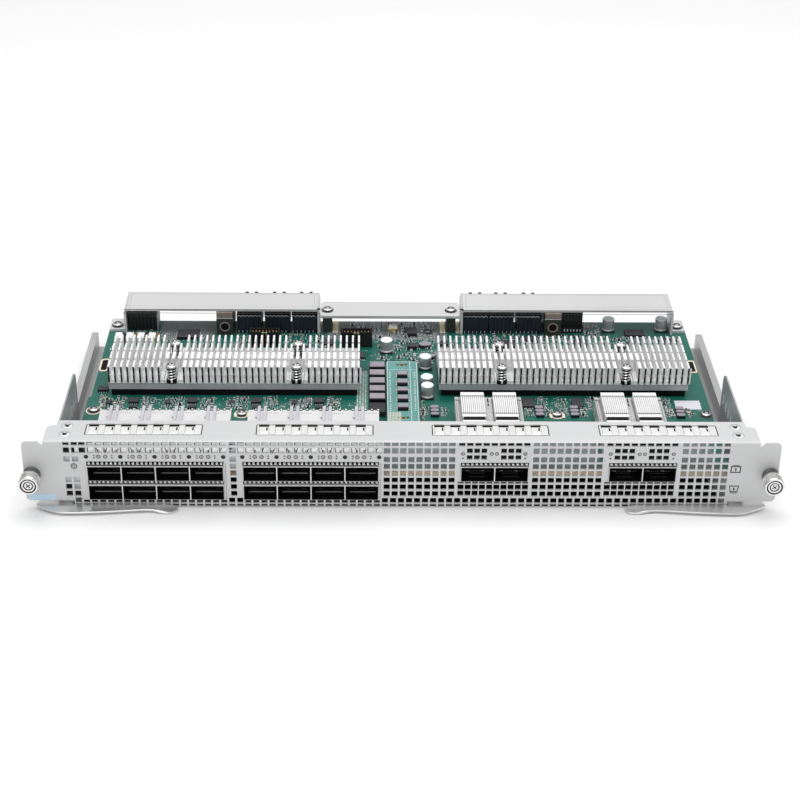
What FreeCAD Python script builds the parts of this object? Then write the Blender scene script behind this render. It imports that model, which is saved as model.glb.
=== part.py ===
import FreeCAD, Part
import math
import os

# Switch line card: a 1U-high plug-in card with a perforated face plate, two
# banks of stacked small transceiver ports, two pairs of larger ports with
# riding heat sinks, a main board on a shallow tray, two wide heat sinks, rear
# backplane connectors under folded bridges, two ejector levers and two captive
# thumbscrews.  Millimetres.  While modelling, Y = 0 is the front face of the
# plate and +Y runs to the rear; Z = 0 is the underside of the tray.  Every
# shape is written out with the origin at the centre of the tray's underside.

V = FreeCAD.Vector

# ---------------------------------------------------------------- face plate
BANK_LEFT = (-184.1, -93.4)     # left edge of each stacked bank of ports
BANK_MARGIN = 24.4          # first port to the edge of the folded part
BODY_HALF = BANK_MARGIN - BANK_LEFT[0]
EAR_OUT = 12.5              # how far each ear stands out of it
CARD_HALF = BODY_HALF + EAR_OUT
PLATE_HEIGHT = 45.1         # underside of the tray to the top of the fold
PLATE_T = 1.2
FLANGE_DEPTH = 24.0         # top fold, front to rear
FLANGE_STEP_HALF = BODY_HALF - 5.5  # its narrower rear strip
FLANGE_STEP_Y = 18.5
FOLD_R = 1.2                # outer radius of the two folds
LIP_DEPTH = 12.0            # bottom fold
LIP_T = 1.0
LIP_HALF = BODY_HALF - 18.5
EAR_BOTTOM = 4.5
EAR_TOP = 44.8
EAR_R = 3.0
EAR_NOTCH = 2.6             # relief at the inner top corner of an ear
EAR_NOTCH_IN = 0.8
EAR_ROOT = 12.0             # overlap of the ear with the body
LEVER_NOTCH_X = BODY_HALF - 15.5    # the lower edge is raised outside this
NOTCH_GAP = 0.5             # lip thickness clearance at its trimmed ends

HOLE = 3.6                  # square perforation
HOLE_PITCH = 4.744
HOLE_ROW_LOW = 4.77         # centre of the lowest full row
HOLE_ROWS = 7               # regular rows, lowest first
LOW_ROW_HOLES = 81
LOW_ROW_START = -190.4
FIELD_MIDDLE = (-9.2, 28.9)         # first and last hole of each field
FIELD_BETWEEN = (78.0, 115.3)
FIELD_RIGHT = (165.1, 189.2)
FIELD_LEFT = (-195.3, -190.4)
FIELD_LEFT_ROWS = (1, 2, 3, 6)      # the others give way to the status light
FIELD_POST = -98.9                  # one column between the two banks

GASKET_Y = (8.0, 19.4)      # windows of the spring finger strips in the fold
GASKET_X = ((-185.2, -117.4), (-85.5, -17.3), (17.5, 85.7), (115.7, 184.9))
GASKET_FINGERS = 7
GASKET_GAP = 0.1
GASKET_EDGE = 1.5           # the strip's border under the flange
GASKET_T = 0.4
FINGER_MARGIN = 1.0

# --------------------------------------------------------------------- ports
PORT_PITCH = 19.9
PORT_W = 18.7
PORT_H = 9.0
PORTS_PER_BANK = 4
WIDE_PORTS = 2
WIDE_LEFT = (34.1, 121.0)       # left edge of each pair of larger ports
CAGE_T = 0.5
CAGE_PROUD = 0.8                # how far a cage stands out of the plate
CAGE_REAR = 65.0
WIDE_CAGE_REAR = 78.0
CAGE_GAP = 0.15                 # all round a cage in its window
COLLAR_T = 1.0                  # spring collar behind the plate
COLLAR_DEPTH = 3.0
COLLAR_GAP = 0.05
PIPE_OFFSETS = (6.3, 10.1)      # light pipes from a port's left edge
PIPE_W = 1.8
PIPE_GAP = 0.2              # behind the collar
PIPE_DROP = (1.0, 2.0)      # where its rear slope starts, behind the cage
PIPE_REAR = (13.4, 15.8)    # its foot on the board, behind the cage
CONNECTOR_DEPTH = 14.0          # plug receptacle at the back of a port
RECEPTACLE_GAP = 0.2
RECEPTACLE_DROP = 0.6

# --------------------------------------------------------------------- board
BOARD_HALF = BODY_HALF - 13.0
BOARD_LUG = 1.8             # wider front part, on the left
BOARD_LUG_REAR = 97.0
BOARD_CORNER = (3.0, 4.0)   # cut front corners
BOARD_FRONT = 11.0
BOARD_REAR = 203.0
BOARD_Z = 15.5
BOARD_T = 3.0
BOARD_TOP = BOARD_Z + BOARD_T
SCREW_EDGE = 3.9            # screw centre in from the board's edge
SCREW_EDGE_X = BOARD_HALF - SCREW_EDGE
BOARD_SCREWS = ((-SCREW_EDGE_X, 81.0), (-99.0, 77.0), (98.0, 77.0), (SCREW_EDGE_X, 77.0))

# ---------------------------------------------------------------------- tray
TRAY_T = 1.0
TRAY_REAR = 198.0
TRAY_CLEAR = 0.1
JOGGLE_GAP = 0.02           # tray strip above the plate's bottom fold
RAIL_INNER = BODY_HALF - 3.8
RAIL_TOP = 12.0
RAIL_HEM = 4.3
FLAT_START = 1.5            # the tray's floor starts behind the bottom fold
JOGGLE_INSET = 1.0          # and is narrower than it
CORNER_IN = 2.0             # the corner floors start outside the raised edge
RAIL_FRONT = 27.0
STANDOFF_AF = 6.0
REAR_EDGE_X = BOARD_HALF - 5.3
REAR_STANDOFFS = ((-REAR_EDGE_X, 193.0), (REAR_EDGE_X, 193.0))
SCREW_SIDES = 6             # small repeated round things are many-sided
NECK_SIDES = 10
KNOB_SIDES = 16
SCREW_HEAD_R = 3.3
SCREW_HEAD_H = 2.0

# --------------------------------------------------------------- side plates
SIDE_X = BODY_HALF - 6.5    # inner face
SIDE_T = 1.0
SIDE_REAR = 87.0
SIDE_BOTTOM = 4.6           # clears the head of the ejector pivot
SIDE_R = 6.0
SIDE_SLOTS = 4
SIDE_SLOT = (2.6, 6.5)
SIDE_SLOT_PITCH = 8.4
SIDE_SLOT_Y = 54.9
SIDE_SLOT_Z = 28.0
SIDE_TAB = 10.0             # fold under the top flange

# ---------------------------------------------------------------- heat sinks
SINK_LENGTH = 158.6
SINK_DEPTH = 43.0
SINK_Y = 121.8
SINK_INNER = (-25.7, 24.7)      # the ends that face each other
SINK_X = (SINK_INNER[0] - SINK_LENGTH / 2, SINK_INNER[1] + SINK_LENGTH / 2)
SINK_Z = 23.0
SINK_BASE = 4.4
SINK_TOP = 39.3
FINS = 41
FIN_T = 1.3
SINK_SCREW_DX = 79.0
SINK_SCREW_Y = (103.6, 134.6)
SINK_SCREW_R = 1.5
SINK_HEAD_R = 3.1
SINK_HEAD_H = 2.4
SPRING_R = 2.6
SPRING_WIRE = 0.5
SCREW_WELL = 9.0            # fins left out round a screw
CHIP = (35.0, 27.0)
CHIP_H = 3.9
CHIP_Y = 118.8
CHIP_CARRIER_H = 1.4
CHIP_LID_INSET = 2.0
HEAD_DROP = 2.6             # screw seat below the fin tops

# --------------------------------------------------------------- riding sinks
RIDER_W = 14.4
RIDER_FRONT = 34.0
RIDER_REAR = 75.0
RIDER_TOP = 36.0
RIDER_FINS = 7
RIDER_FIN_T = 0.7
RIDER_BASE = 1.6
RIDER_FOOT = (10.0, 20.0)   # pad that reaches into the cage
RIDER_FOOT_GAP = 0.4
CLIP_T = 0.6
CLIP_FRONT = 4.0            # frame bars before and behind the sinks
CLIP_BACK = 1.5
CLIP_RAIL_H = 3.2
CLIP_GAP = 0.3
CLIP_OVER = 0.2             # skirts stand off the cage's sides
CLIP_SKIRT = (8.0, 6.0)     # length and depth of a skirt
RIDER_WINDOW_GAP = 0.8

# --------------------------------------------------------------------- levers
LEVER_Z = 1.15
LEVER_T = 1.3
LEVER_LENGTH = 76.7         # tip to body edge
LEVER_TIP_X = BODY_HALF - LEVER_LENGTH
LEVER_TIP_Y = -4.9
PIVOT_X = BODY_HALF - 4.5
LEVER_END_X = PIVOT_X - 3.5     # centre of the round end
LEVER_END_Y = 6.0
LEVER_END_R = 15.6
LEVER_END_ARC = (-97.0, 48.0)
LEVER_END_STEPS = 7
LEVER_BACK = 11.0           # the bar's rear edge behind the round end's centre
LEVER_FACE_GAP = 0.4        # lever to plate
LEVER_NOTCH_GAP = 0.6
LIP_X = LEVER_TIP_X + 15.7      # where the finger lip starts
LIP_REACH = 3.0
LIP_EDGE = 0.9
LEVER_LIP_DROP = 0.9
PIVOT_HEAD_GAP = 0.15
PIVOT_Y = 8.0
PIVOT_R = 2.5
PIVOT_HEAD_R = 3.8
PIVOT_HEAD_H = 1.2
RUNNING_GAP = 0.05

# ---------------------------------------------------------------- thumbscrews
KNOB_X = CARD_HALF - 4.6
KNOB_Z = 22.9
KNOB_R = 6.0
KNOB_FRONT = -13.5
KNOB_LENGTH = 8.0
KNOB_WALL = 2.5
KNOB_SOCKET_R = 3.2
KNOB_SOCKET_D = 1.0
FERRULE_R = 4.9
FERRULE_FRONT = -6.5
FERRULE_NECK_R = 3.9
FERRULE_BORE_R = 3.4
FERRULE_SHOULDER = -1.0
SHANK_R = 1.5
SHANK_TIP = 4.6
SCREW_TRAVEL = 4.0
SHANK_GAP = 0.3
RETAINER_R = 2.8
RETAINER_T = 0.7
CUP_GAP = 0.3               # knob to ferrule
COIL_R = 2.8                # captive screw spring
COIL_WALL = 0.6

# ----------------------------------------------------------------------- rear
BRIDGE_TOP = 37.0
BRIDGE_T = 1.5
BRIDGE_FRONT = 184.3
BRIDGE_REAR = 209.0
BRIDGE_X = ((10.9 - BOARD_HALF, -53.0), (42.0, BOARD_HALF - 9.5))
BRIDGE_R = 3.0
FOOT_EDGE = 0.2             # foot to the board's edge
LEG_CUT = 6.0               # the legs are cut back behind the feet
FOOT_T = 1.6
FOOT_Y = (187.5, 203.0)
BAR_TOP = 32.0
BAR_T = 2.0
BAR_Y = (185.0, 205.0)
BAR_X = (-52.4, 41.4)
BACK_X = ((-108.9, -90.0, -71.6), (43.9, 61.4, 80.3))
BACK_W = 16.6
BACK_FRONT = 185.6
BACK_REAR = 207.0
BLOCK_REAR = 211.5          # the backplane blocks stand out behind the bridge
BLOCK_MOUTH = 10.5
RIB_X = (4.6, 11.0)         # two ribs on each block's rear edge
RIB_W = 2.2
RIB_H = 1.6
BACK_STEP = 3.5             # stepped top front edge
BACK_WALL = 1.6
MATING_DEPTH = 6.0
SEAT_GAP = 0.3
GUIDE_X = (-122.4, 98.7)
GUIDE_W = 11.3
GUIDE_FRONT = 182.4
GUIDE_BORE_R = 2.6
GUIDE_BORE_Z = 24.6
GUIDE_STEP = 2.2
POWER_X = (-182.9, -163.4)
POWER_FRONT = 189.1
SIGNAL_X = (111.4, 125.0)
SIGNAL_FRONT = 187.0
SIGNAL_STRIP_D = 2.5
SIGNAL_STRIP_H = 4.0
SIGNAL_STRIP_OVER = 0.3
POWER_CELLS = 4
CENTRE_POST_W = 6.2
CENTRE_POST_X = (-51.0, 32.5)
CENTRE_POST_FRONT = 187.2
CENTRE_POST_DEPTH = 12.0
BAR_CORNER_R = 2.5

# ----------------------------------------------------------- parts on the board
HEADER_X = (-99.8, -38.6)
HEADER = (20.9, 7.4, 10.7)
HEADER_Y = 165.6
HEADER_WALL = 1.2
HEADER_KEY_W = 4.0
CAN_R = 4.3
CAN_H = 9.0
CAN_FOOT_H = 1.2
CAN_SIDES = 8
CANS = ((-8.2, 160.0), (17.0, 137.4), (17.3, 110.4), (17.3, 99.4), (143.0, 191.4), (179.0, 192.0))
COIL = (10.5, 7.9, 5.5)
COIL_X = -19.7
COIL_Y = (86.8, 97.0, 107.2, 117.6, 128.2)
CONTROLLER = (10.3, 11.6, 4.0)
CONTROLLER_Y = 74.0
MEZZ_X = (-8.4, 11.7)
MEZZ_Y = (56.0, 136.0)
MEZZ_Z = 22.4
MEZZ_T = 1.6
MEZZ_SLOT = (7.0, 2.0)
MEZZ_SLOT_Y = (63.0, 130.8)
MEZZ_CHIP = (7.0, 7.0, 1.2)
MEZZ_CHIP_X = -1.9
MEZZ_CHIP_Y = (72.0, 82.6, 92.8, 103.0, 113.6)
SOCKET_W = 3.0
SOCKET_INSET = 8.0
# centre X, centre Y, width, depth, height
CHIPS = (
    (-167.8, 92.9, 8.0, 6.0, 1.6),
    (-131.0, 89.3, 8.0, 6.0, 1.6),
    (-90.8, 89.5, 8.0, 6.0, 1.6),
    (-51.2, 89.7, 8.0, 6.0, 1.6),
    (80.8, 90.4, 8.0, 8.0, 1.8),
    (111.8, 90.6, 8.0, 8.0, 1.8),
    (-188.9, 106.5, 7.5, 5.0, 1.8),
    (-141.5, 181.0, 16.0, 12.0, 2.0),
    (160.3, 184.0, 14.5, 10.0, 2.0),
    (-22.9, 107.0, 5.5, 52.0, 1.8),
)
FILTERS = ((-189.4, -175.2), (-174.4, -160.0))
FILTER_Y = (168.0, 176.0)
FILTER_H = 5.5
LABEL_X = (BOARD_HALF - 21.5, BOARD_HALF - 5.5)
LABEL_Y = (84.0, 95.0)
LABEL_T = 0.15

TRAY_MID_Y = (PLATE_T + TRAY_REAR) / 2.0
parts = {}


# --------------------------------------------------------------- small helpers
def box(x0, x1, y0, y1, z0, z1):
    return Part.makeBox(x1 - x0, y1 - y0, z1 - z0, V(x0, y0, z0))


def prism_z(points, z0, z1):
    """Closed outline in X, Y carried up from z0 to z1."""
    wire = Part.makePolygon([V(x, y, z0) for x, y in points + [points[0]]])
    return Part.Face(wire).extrude(V(0, 0, z1 - z0))


def prism_x(points, x0, x1):
    """Closed outline in Y, Z carried along X."""
    wire = Part.makePolygon([V(x0, y, z) for y, z in points + [points[0]]])
    return Part.Face(wire).extrude(V(x1 - x0, 0, 0))


def prism_y(points, y0, y1):
    """Closed outline in X, Z carried along Y."""
    wire = Part.makePolygon([V(x, y0, z) for x, z in points + [points[0]]])
    return Part.Face(wire).extrude(V(0, y1 - y0, 0))


def rod(x, y, z, r, length, axis):
    return Part.makeCylinder(r, length, V(x, y, z), axis)


def ring_points(u, v, r, sides):
    step = 2 * math.pi / sides
    return [(u + r * math.cos(step * i), v + r * math.sin(step * i)) for i in range(sides)]


def sided(x, y, r, z0, z1, sides):
    """Upright many-sided stub for a small repeated fastener or can."""
    return prism_z(ring_points(x, y, r, sides), z0, z1)


def round_edges(solid, r, chosen):
    """Fillet the straight edges whose middle passes the test."""
    edges = []
    for e in solid.Edges:
        if chosen(e.CenterOfMass, e):
            edges.append(e)
    return solid.makeFillet(r, edges)


def along(e, axis):
    a = e.Vertexes[0].Point
    b = e.Vertexes[-1].Point
    d = b.sub(a)
    return d.Length > 0 and abs(d.dot(axis)) / d.Length > 0.999


def mirrored(shape):
    return shape.mirror(V(0, 0, 0), V(1, 0, 0))


def group(shapes):
    return Part.makeCompound(shapes)


def fused(shapes):
    first = shapes[0]
    return first.fuse(shapes[1:]).removeSplitter()


# ------------------------------------------------------------------ face plate
def row_height(row):
    return HOLE_ROW_LOW + HOLE_PITCH * row


def square_hole(x, z):
    half = HOLE / 2
    return box(x - half, x + half, -1, PLATE_T + 1, z - half, z + half)


def line_of_holes(field, z):
    """Even row from a field's first hole to its last, near the usual pitch."""
    x0, x1 = field
    gaps = round((x1 - x0) / HOLE_PITCH)
    step = (x1 - x0) / gaps
    return [square_hole(x0 + step * i, z) for i in range(gaps + 1)]


def in_bank(x):
    width = PORT_PITCH * PORTS_PER_BANK
    return any(left - HOLE < x < left + width + HOLE for left in BANK_LEFT)


def perforations():
    """Square holes in one row right across and in fields beside the ports."""
    holes = []
    for i in range(LOW_ROW_HOLES):
        x = LOW_ROW_START + HOLE_PITCH * i
        if not in_bank(x):
            holes.append(square_hole(x, HOLE_ROW_LOW))
    for row in range(1, HOLE_ROWS):
        z = row_height(row)
        for field in (FIELD_MIDDLE, FIELD_BETWEEN, FIELD_RIGHT):
            holes += line_of_holes(field, z)
        holes.append(square_hole(FIELD_POST, z))
        if row in FIELD_LEFT_ROWS:
            holes += line_of_holes(FIELD_LEFT, z)
    return holes


def port_rows():
    """Lower edge of the opening in the upper and the lower row."""
    upper = BOARD_TOP + CAGE_T
    lower = BOARD_Z - CAGE_T - PORT_H
    return upper, lower


def windows():
    """One window for each row of ports, a clearance wider than its cage."""
    upper, lower = port_rows()
    cuts = []
    for left in BANK_LEFT:
        for z in (upper, lower):
            cuts.append(cage_block(left, PORTS_PER_BANK, z, CAGE_GAP, -1, PLATE_T + 1))
    for left in WIDE_LEFT:
        cuts.append(cage_block(left, WIDE_PORTS, upper, CAGE_GAP, -1, PLATE_T + 1))
    return cuts


def ear():
    """Right-hand ear: a flat tab with rounded corners and a relief notch."""
    x1 = CARD_HALF
    root = BODY_HALF - EAR_ROOT
    notch = BODY_HALF + EAR_NOTCH_IN
    outline = [
        (root, EAR_BOTTOM),
        (x1, EAR_BOTTOM),
        (x1, EAR_TOP),
        (notch + EAR_NOTCH, EAR_TOP),
        (notch, EAR_TOP - EAR_NOTCH),
        (root, EAR_TOP - EAR_NOTCH),
    ]
    tab = prism_y(outline, 0, PLATE_T)
    axis = V(0, 1, 0)
    tab = round_edges(tab, EAR_R, lambda c, e: along(e, axis) and c.x > x1 - 0.1)
    return tab.cut(knob_prism(FERRULE_NECK_R, -1, PLATE_T + 1, NECK_SIDES))


def folded_strip():
    """The plate's own section, front face, top flange and bottom lip."""
    top = PLATE_HEIGHT
    outline = [
        (0, 0),
        (LIP_DEPTH, 0),
        (LIP_DEPTH, LIP_T),
        (PLATE_T, LIP_T),
        (PLATE_T, top - PLATE_T),
        (FLANGE_DEPTH, top - PLATE_T),
        (FLANGE_DEPTH, top),
        (0, top),
    ]
    strip = prism_x(outline, -BODY_HALF, BODY_HALF)
    axis = V(1, 0, 0)

    def outer_fold(c, e):
        return along(e, axis) and c.y < 0.01 and (c.z < 0.01 or c.z > top - 0.01)

    return round_edges(strip, FOLD_R, outer_fold)


def front_panel():
    plate = folded_strip()
    out = BODY_HALF + 1
    under = PLATE_HEIGHT - 2 * PLATE_T
    over = PLATE_HEIGHT + 1
    trims = []
    for side in (-1, 1):
        lo, hi = sorted((side * FLANGE_STEP_HALF, side * out))
        trims.append(box(lo, hi, FLANGE_STEP_Y, FLANGE_DEPTH + 1, under, over))
        lo, hi = sorted((side * LEVER_NOTCH_X, side * out))
        trims.append(box(lo, hi, -1, LIP_DEPTH + 1, -1, EAR_BOTTOM))
        lo, hi = sorted((side * LIP_HALF, side * out))
        trims.append(box(lo, hi, PLATE_T, LIP_DEPTH + 1, -1, LIP_T + NOTCH_GAP))
    for x0, x1 in GASKET_X:
        trims.append(box(x0, x1, GASKET_Y[0], GASKET_Y[1], under, over))
    plate = plate.cut(trims)
    plate = plate.fuse([ear(), mirrored(ear())]).removeSplitter()
    return plate.cut(group(windows() + perforations()))


def flange_gaskets():
    """Spring finger strips that fill the four windows of the top flange."""
    strips = []
    under = PLATE_HEIGHT - PLATE_T
    y0 = GASKET_Y[0] + GASKET_GAP
    y1 = GASKET_Y[1] - GASKET_GAP
    edge = GASKET_EDGE
    for x0, x1 in GASKET_X:
        strip = [box(x0 - edge, x1 + edge, y0 - edge, y1 + edge, under - GASKET_T, under)]
        pitch = (x1 - x0) / GASKET_FINGERS
        for i in range(GASKET_FINGERS):
            a = x0 + pitch * i + FINGER_MARGIN
            b = a + pitch - 2 * FINGER_MARGIN
            strip.append(box(a, b, y0, y1 - FINGER_MARGIN, under - GASKET_T / 2, PLATE_HEIGHT))
        strips.append(fused(strip))
    return group(strips)


def side_plate():
    """Right-hand side plate with a row of upright slots and a top tab."""
    top = PLATE_HEIGHT - PLATE_T
    front = PLATE_T + TRAY_CLEAR
    outline = [
        (front, SIDE_BOTTOM),
        (RAIL_FRONT, SIDE_BOTTOM),
        (RAIL_FRONT, TRAY_T),
        (SIDE_REAR, TRAY_T),
        (SIDE_REAR, top),
        (front, top),
    ]
    plate = prism_x(outline, SIDE_X, SIDE_X + SIDE_T)
    axis = V(1, 0, 0)

    def rear_top(c, e):
        return along(e, axis) and c.y > SIDE_REAR - 0.1 and c.z > top - 0.1

    plate = round_edges(plate, SIDE_R, rear_top)
    w, h = SIDE_SLOT
    cuts = []
    for i in range(SIDE_SLOTS):
        y = SIDE_SLOT_Y + SIDE_SLOT_PITCH * i
        z = SIDE_SLOT_Z - h / 2
        cuts.append(box(SIDE_X - 1, SIDE_X + 3, y - w / 2, y + w / 2, z, z + h))
    plate = plate.cut(cuts)
    tab = box(SIDE_X - SIDE_TAB, SIDE_X + SIDE_T, front, FLANGE_DEPTH - 1, top - SIDE_T, top)
    return fused([plate, tab])


# ------------------------------------------------------------------------ tray
def base_tray():
    """Floor with two hemmed side rails and a joggled strip at the front."""
    edge = RAIL_INNER + TRAY_T
    hem = RAIL_INNER + RAIL_HEM
    front = PLATE_T + TRAY_CLEAR
    flat = LIP_DEPTH + FLAT_START
    floor = box(-edge, edge, flat, TRAY_REAR, 0, TRAY_T)
    half = LIP_HALF - JOGGLE_INSET
    under = LIP_T + JOGGLE_GAP
    joggle = [
        (front, under),
        (LIP_DEPTH + 0.2, under),
        (flat, 0),
        (flat + 1.0, 0),
        (flat + 1.0, TRAY_T),
        (LIP_DEPTH + 0.8, LIP_T + TRAY_T),
        (front, LIP_T + TRAY_T),
    ]
    pieces = [floor, prism_x(joggle, -half, half)]
    for side in (-1, 1):
        lo, hi = sorted((side * (LEVER_NOTCH_X + CORNER_IN), side * hem))
        pieces.append(box(lo, hi, front, flat + 1, 0, TRAY_T))
        rail = [
            (side * RAIL_INNER, 0),
            (side * edge, 0),
            (side * edge, RAIL_TOP - TRAY_T),
            (side * hem, RAIL_TOP - TRAY_T),
            (side * hem, RAIL_TOP),
            (side * RAIL_INNER, RAIL_TOP),
        ]
        pieces.append(prism_y(rail, RAIL_FRONT, TRAY_REAR))
    tray = fused(pieces)
    r = PIVOT_R / math.cos(math.pi / NECK_SIDES)
    holes = [sided(side * PIVOT_X, PIVOT_Y, r, -1, TRAY_T + 1, NECK_SIDES) for side in (-1, 1)]
    return tray.cut(holes)


def standoffs():
    """Hexagonal spacers between the tray and the board."""
    posts = []
    for x, y in BOARD_SCREWS + REAR_STANDOFFS:
        r = STANDOFF_AF / math.sqrt(3)
        posts.append(sided(x, y, r, TRAY_T, BOARD_Z, 6))
    return group(posts)


# ----------------------------------------------------------------------- board
def main_board():
    half = BOARD_HALF
    dx, dy = BOARD_CORNER
    outline = [
        (-half, BOARD_REAR),
        (-half, BOARD_LUG_REAR + BOARD_LUG),
        (-half - BOARD_LUG, BOARD_LUG_REAR),
        (-half - BOARD_LUG, BOARD_FRONT + dy),
        (-half + dx, BOARD_FRONT),
        (half - dx, BOARD_FRONT),
        (half, BOARD_FRONT + dy),
        (half, BOARD_REAR),
    ]
    return prism_z(outline, BOARD_Z, BOARD_TOP)


def board_screws():
    """Pan heads on the board, on the bridges' feet and on the centre bar."""
    screws = []
    top = BOARD_TOP + FOOT_T
    for x, y in BOARD_SCREWS:
        screws.append(sided(x, y, SCREW_HEAD_R, BOARD_TOP, BOARD_TOP + SCREW_HEAD_H, SCREW_SIDES))
    for x, y in REAR_STANDOFFS:
        screws.append(sided(x, y, SCREW_HEAD_R, top, top + SCREW_HEAD_H, SCREW_SIDES))
    for x in CENTRE_POST_X:
        mid = x + CENTRE_POST_W / 2
        y = CENTRE_POST_FRONT + CENTRE_POST_DEPTH / 2
        screws.append(sided(mid, y, SCREW_HEAD_R, BAR_TOP, BAR_TOP + SCREW_HEAD_H, SCREW_SIDES))
    return group(screws)


# ----------------------------------------------------------------------- cages
def cage_block(left, ports, z, grow, y0, y1):
    """Outer block of a ganged cage whose lowest opening edge is at z."""
    width = PORT_PITCH * ports
    return box(
        left - grow,
        left + width + grow,
        y0,
        y1,
        z - CAGE_T - grow,
        z + PORT_H + CAGE_T + grow,
    )


def port_left(left, i):
    return left + PORT_PITCH * i + (PORT_PITCH - PORT_W) / 2


def cage(left, ports, z, rear, windowed=False):
    """Folded metal cage, open at the front, with one cell for each port."""
    body = cage_block(left, ports, z, 0, -CAGE_PROUD, rear)
    cells = []
    w = RIDER_FOOT[0] + RIDER_WINDOW_GAP
    length = RIDER_FOOT[1] + RIDER_WINDOW_GAP
    y = (RIDER_FRONT + RIDER_REAR - length) / 2
    top = z + PORT_H
    for i in range(ports):
        x = port_left(left, i)
        cells.append(box(x, x + PORT_W, -CAGE_PROUD - 1, rear - CAGE_T, z, top))
        if windowed:
            a = x + (PORT_W - w) / 2
            cells.append(box(a, a + w, y, y + length, top - 1, top + 2))
    return body.cut(cells)


def receptacles(left, ports, z, rear):
    """Plug receptacle blocks, one at the back of each cell."""
    blocks = []
    for i in range(ports):
        x = port_left(left, i)
        y1 = rear - CAGE_T - 0.1
        y0 = y1 - CONNECTOR_DEPTH
        x0 = x + RECEPTACLE_GAP
        x1 = x + PORT_W - RECEPTACLE_GAP
        blocks.append(box(x0, x1, y0, y1, z + 0.1, z + PORT_H - RECEPTACLE_DROP))
    return blocks


def cage_gaskets():
    """Thin spring collars round each row of ports, behind the plate."""
    collars = []
    upper, lower = port_rows()
    rows = [(left, PORTS_PER_BANK, z) for left in BANK_LEFT for z in (upper, lower)]
    rows += [(left, WIDE_PORTS, upper) for left in WIDE_LEFT]
    for left, ports, z in rows:
        y0 = PLATE_T
        outer = cage_block(left, ports, z, COLLAR_T, y0, y0 + COLLAR_DEPTH)
        inner = cage_block(left, ports, z, COLLAR_GAP, y0 - 1, y0 + COLLAR_DEPTH + 1)
        collars.append(outer.cut(inner))
    return group(collars)


def light_pipes():
    """Two clear light pipes for each upper port, over the cage to the plate."""
    pipes = []
    z = BOARD_TOP + PORT_H + 2 * CAGE_T + JOGGLE_GAP
    top = z + PIPE_W
    half = PIPE_W / 2
    front = PLATE_T + COLLAR_DEPTH + PIPE_GAP
    for left in BANK_LEFT:
        for i in range(PORTS_PER_BANK):
            for offset in PIPE_OFFSETS:
                x = left + PORT_PITCH * i + offset
                run = [
                    (front, z),
                    (front, top),
                    (CAGE_REAR + PIPE_DROP[1], top),
                    (CAGE_REAR + PIPE_REAR[1], BOARD_TOP),
                    (CAGE_REAR + PIPE_REAR[0], BOARD_TOP),
                    (CAGE_REAR + PIPE_DROP[0], z),
                ]
                pipes.append(prism_x(run, x - half, x + half))
    return group(pipes)


# ---------------------------------------------------------------- riding sinks
def rider_mid(index):
    left = WIDE_LEFT[index // 2]
    return left + PORT_PITCH * (index % 2 + 0.5)


def riding_sink(index):
    """Small finned sink that rests on a cage and reaches through its window."""
    mid = rider_mid(index)
    x0 = mid - RIDER_W / 2
    base_z = BOARD_TOP + PORT_H + 2 * CAGE_T
    floor = base_z + RIDER_BASE
    outline = [(x0, base_z), (x0 + RIDER_W, base_z)]
    pitch = (RIDER_W - RIDER_FIN_T) / (RIDER_FINS - 1)
    for i in reversed(range(RIDER_FINS)):
        a = x0 + pitch * i
        outline += [(a + RIDER_FIN_T, RIDER_TOP), (a, RIDER_TOP)]
        if i:
            outline += [(a, floor), (a - pitch + RIDER_FIN_T, floor)]
    comb = prism_y(outline, RIDER_FRONT, RIDER_REAR)
    w, length = RIDER_FOOT
    y = (RIDER_FRONT + RIDER_REAR) / 2
    tip = base_z - CAGE_T - RIDER_FOOT_GAP
    foot = box(mid - w / 2, mid + w / 2, y - length / 2, y + length / 2, tip, base_z)
    return fused([comb, foot])


def rider_clip(pair):
    """Spring clip round a pair of riding sinks, hooked over their cage."""
    left = WIDE_LEFT[pair] - CLIP_OVER
    right = WIDE_LEFT[pair] + PORT_PITCH * WIDE_PORTS + CLIP_OVER
    z = BOARD_TOP + PORT_H + 2 * CAGE_T + JOGGLE_GAP
    y0 = RIDER_FRONT - CLIP_FRONT
    frame = box(left - CLIP_T, right + CLIP_T, y0, RIDER_REAR + CLIP_BACK, z, z + CLIP_RAIL_H)
    cuts = []
    w = RIDER_W / 2 + CLIP_GAP
    for index in (2 * pair, 2 * pair + 1):
        mid = rider_mid(index)
        rear = RIDER_REAR + CLIP_GAP
        cuts.append(box(mid - w, mid + w, RIDER_FRONT - CLIP_GAP, rear, z - 1, z + CLIP_RAIL_H + 1))
    pieces = [frame.cut(cuts)]
    length, depth = CLIP_SKIRT
    for x in (left - CLIP_T, right):
        for y in (RIDER_FRONT, RIDER_REAR - length):
            pieces.append(box(x, x + CLIP_T, y, y + length, z - depth, z + 0.5))
    return fused(pieces)


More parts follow.
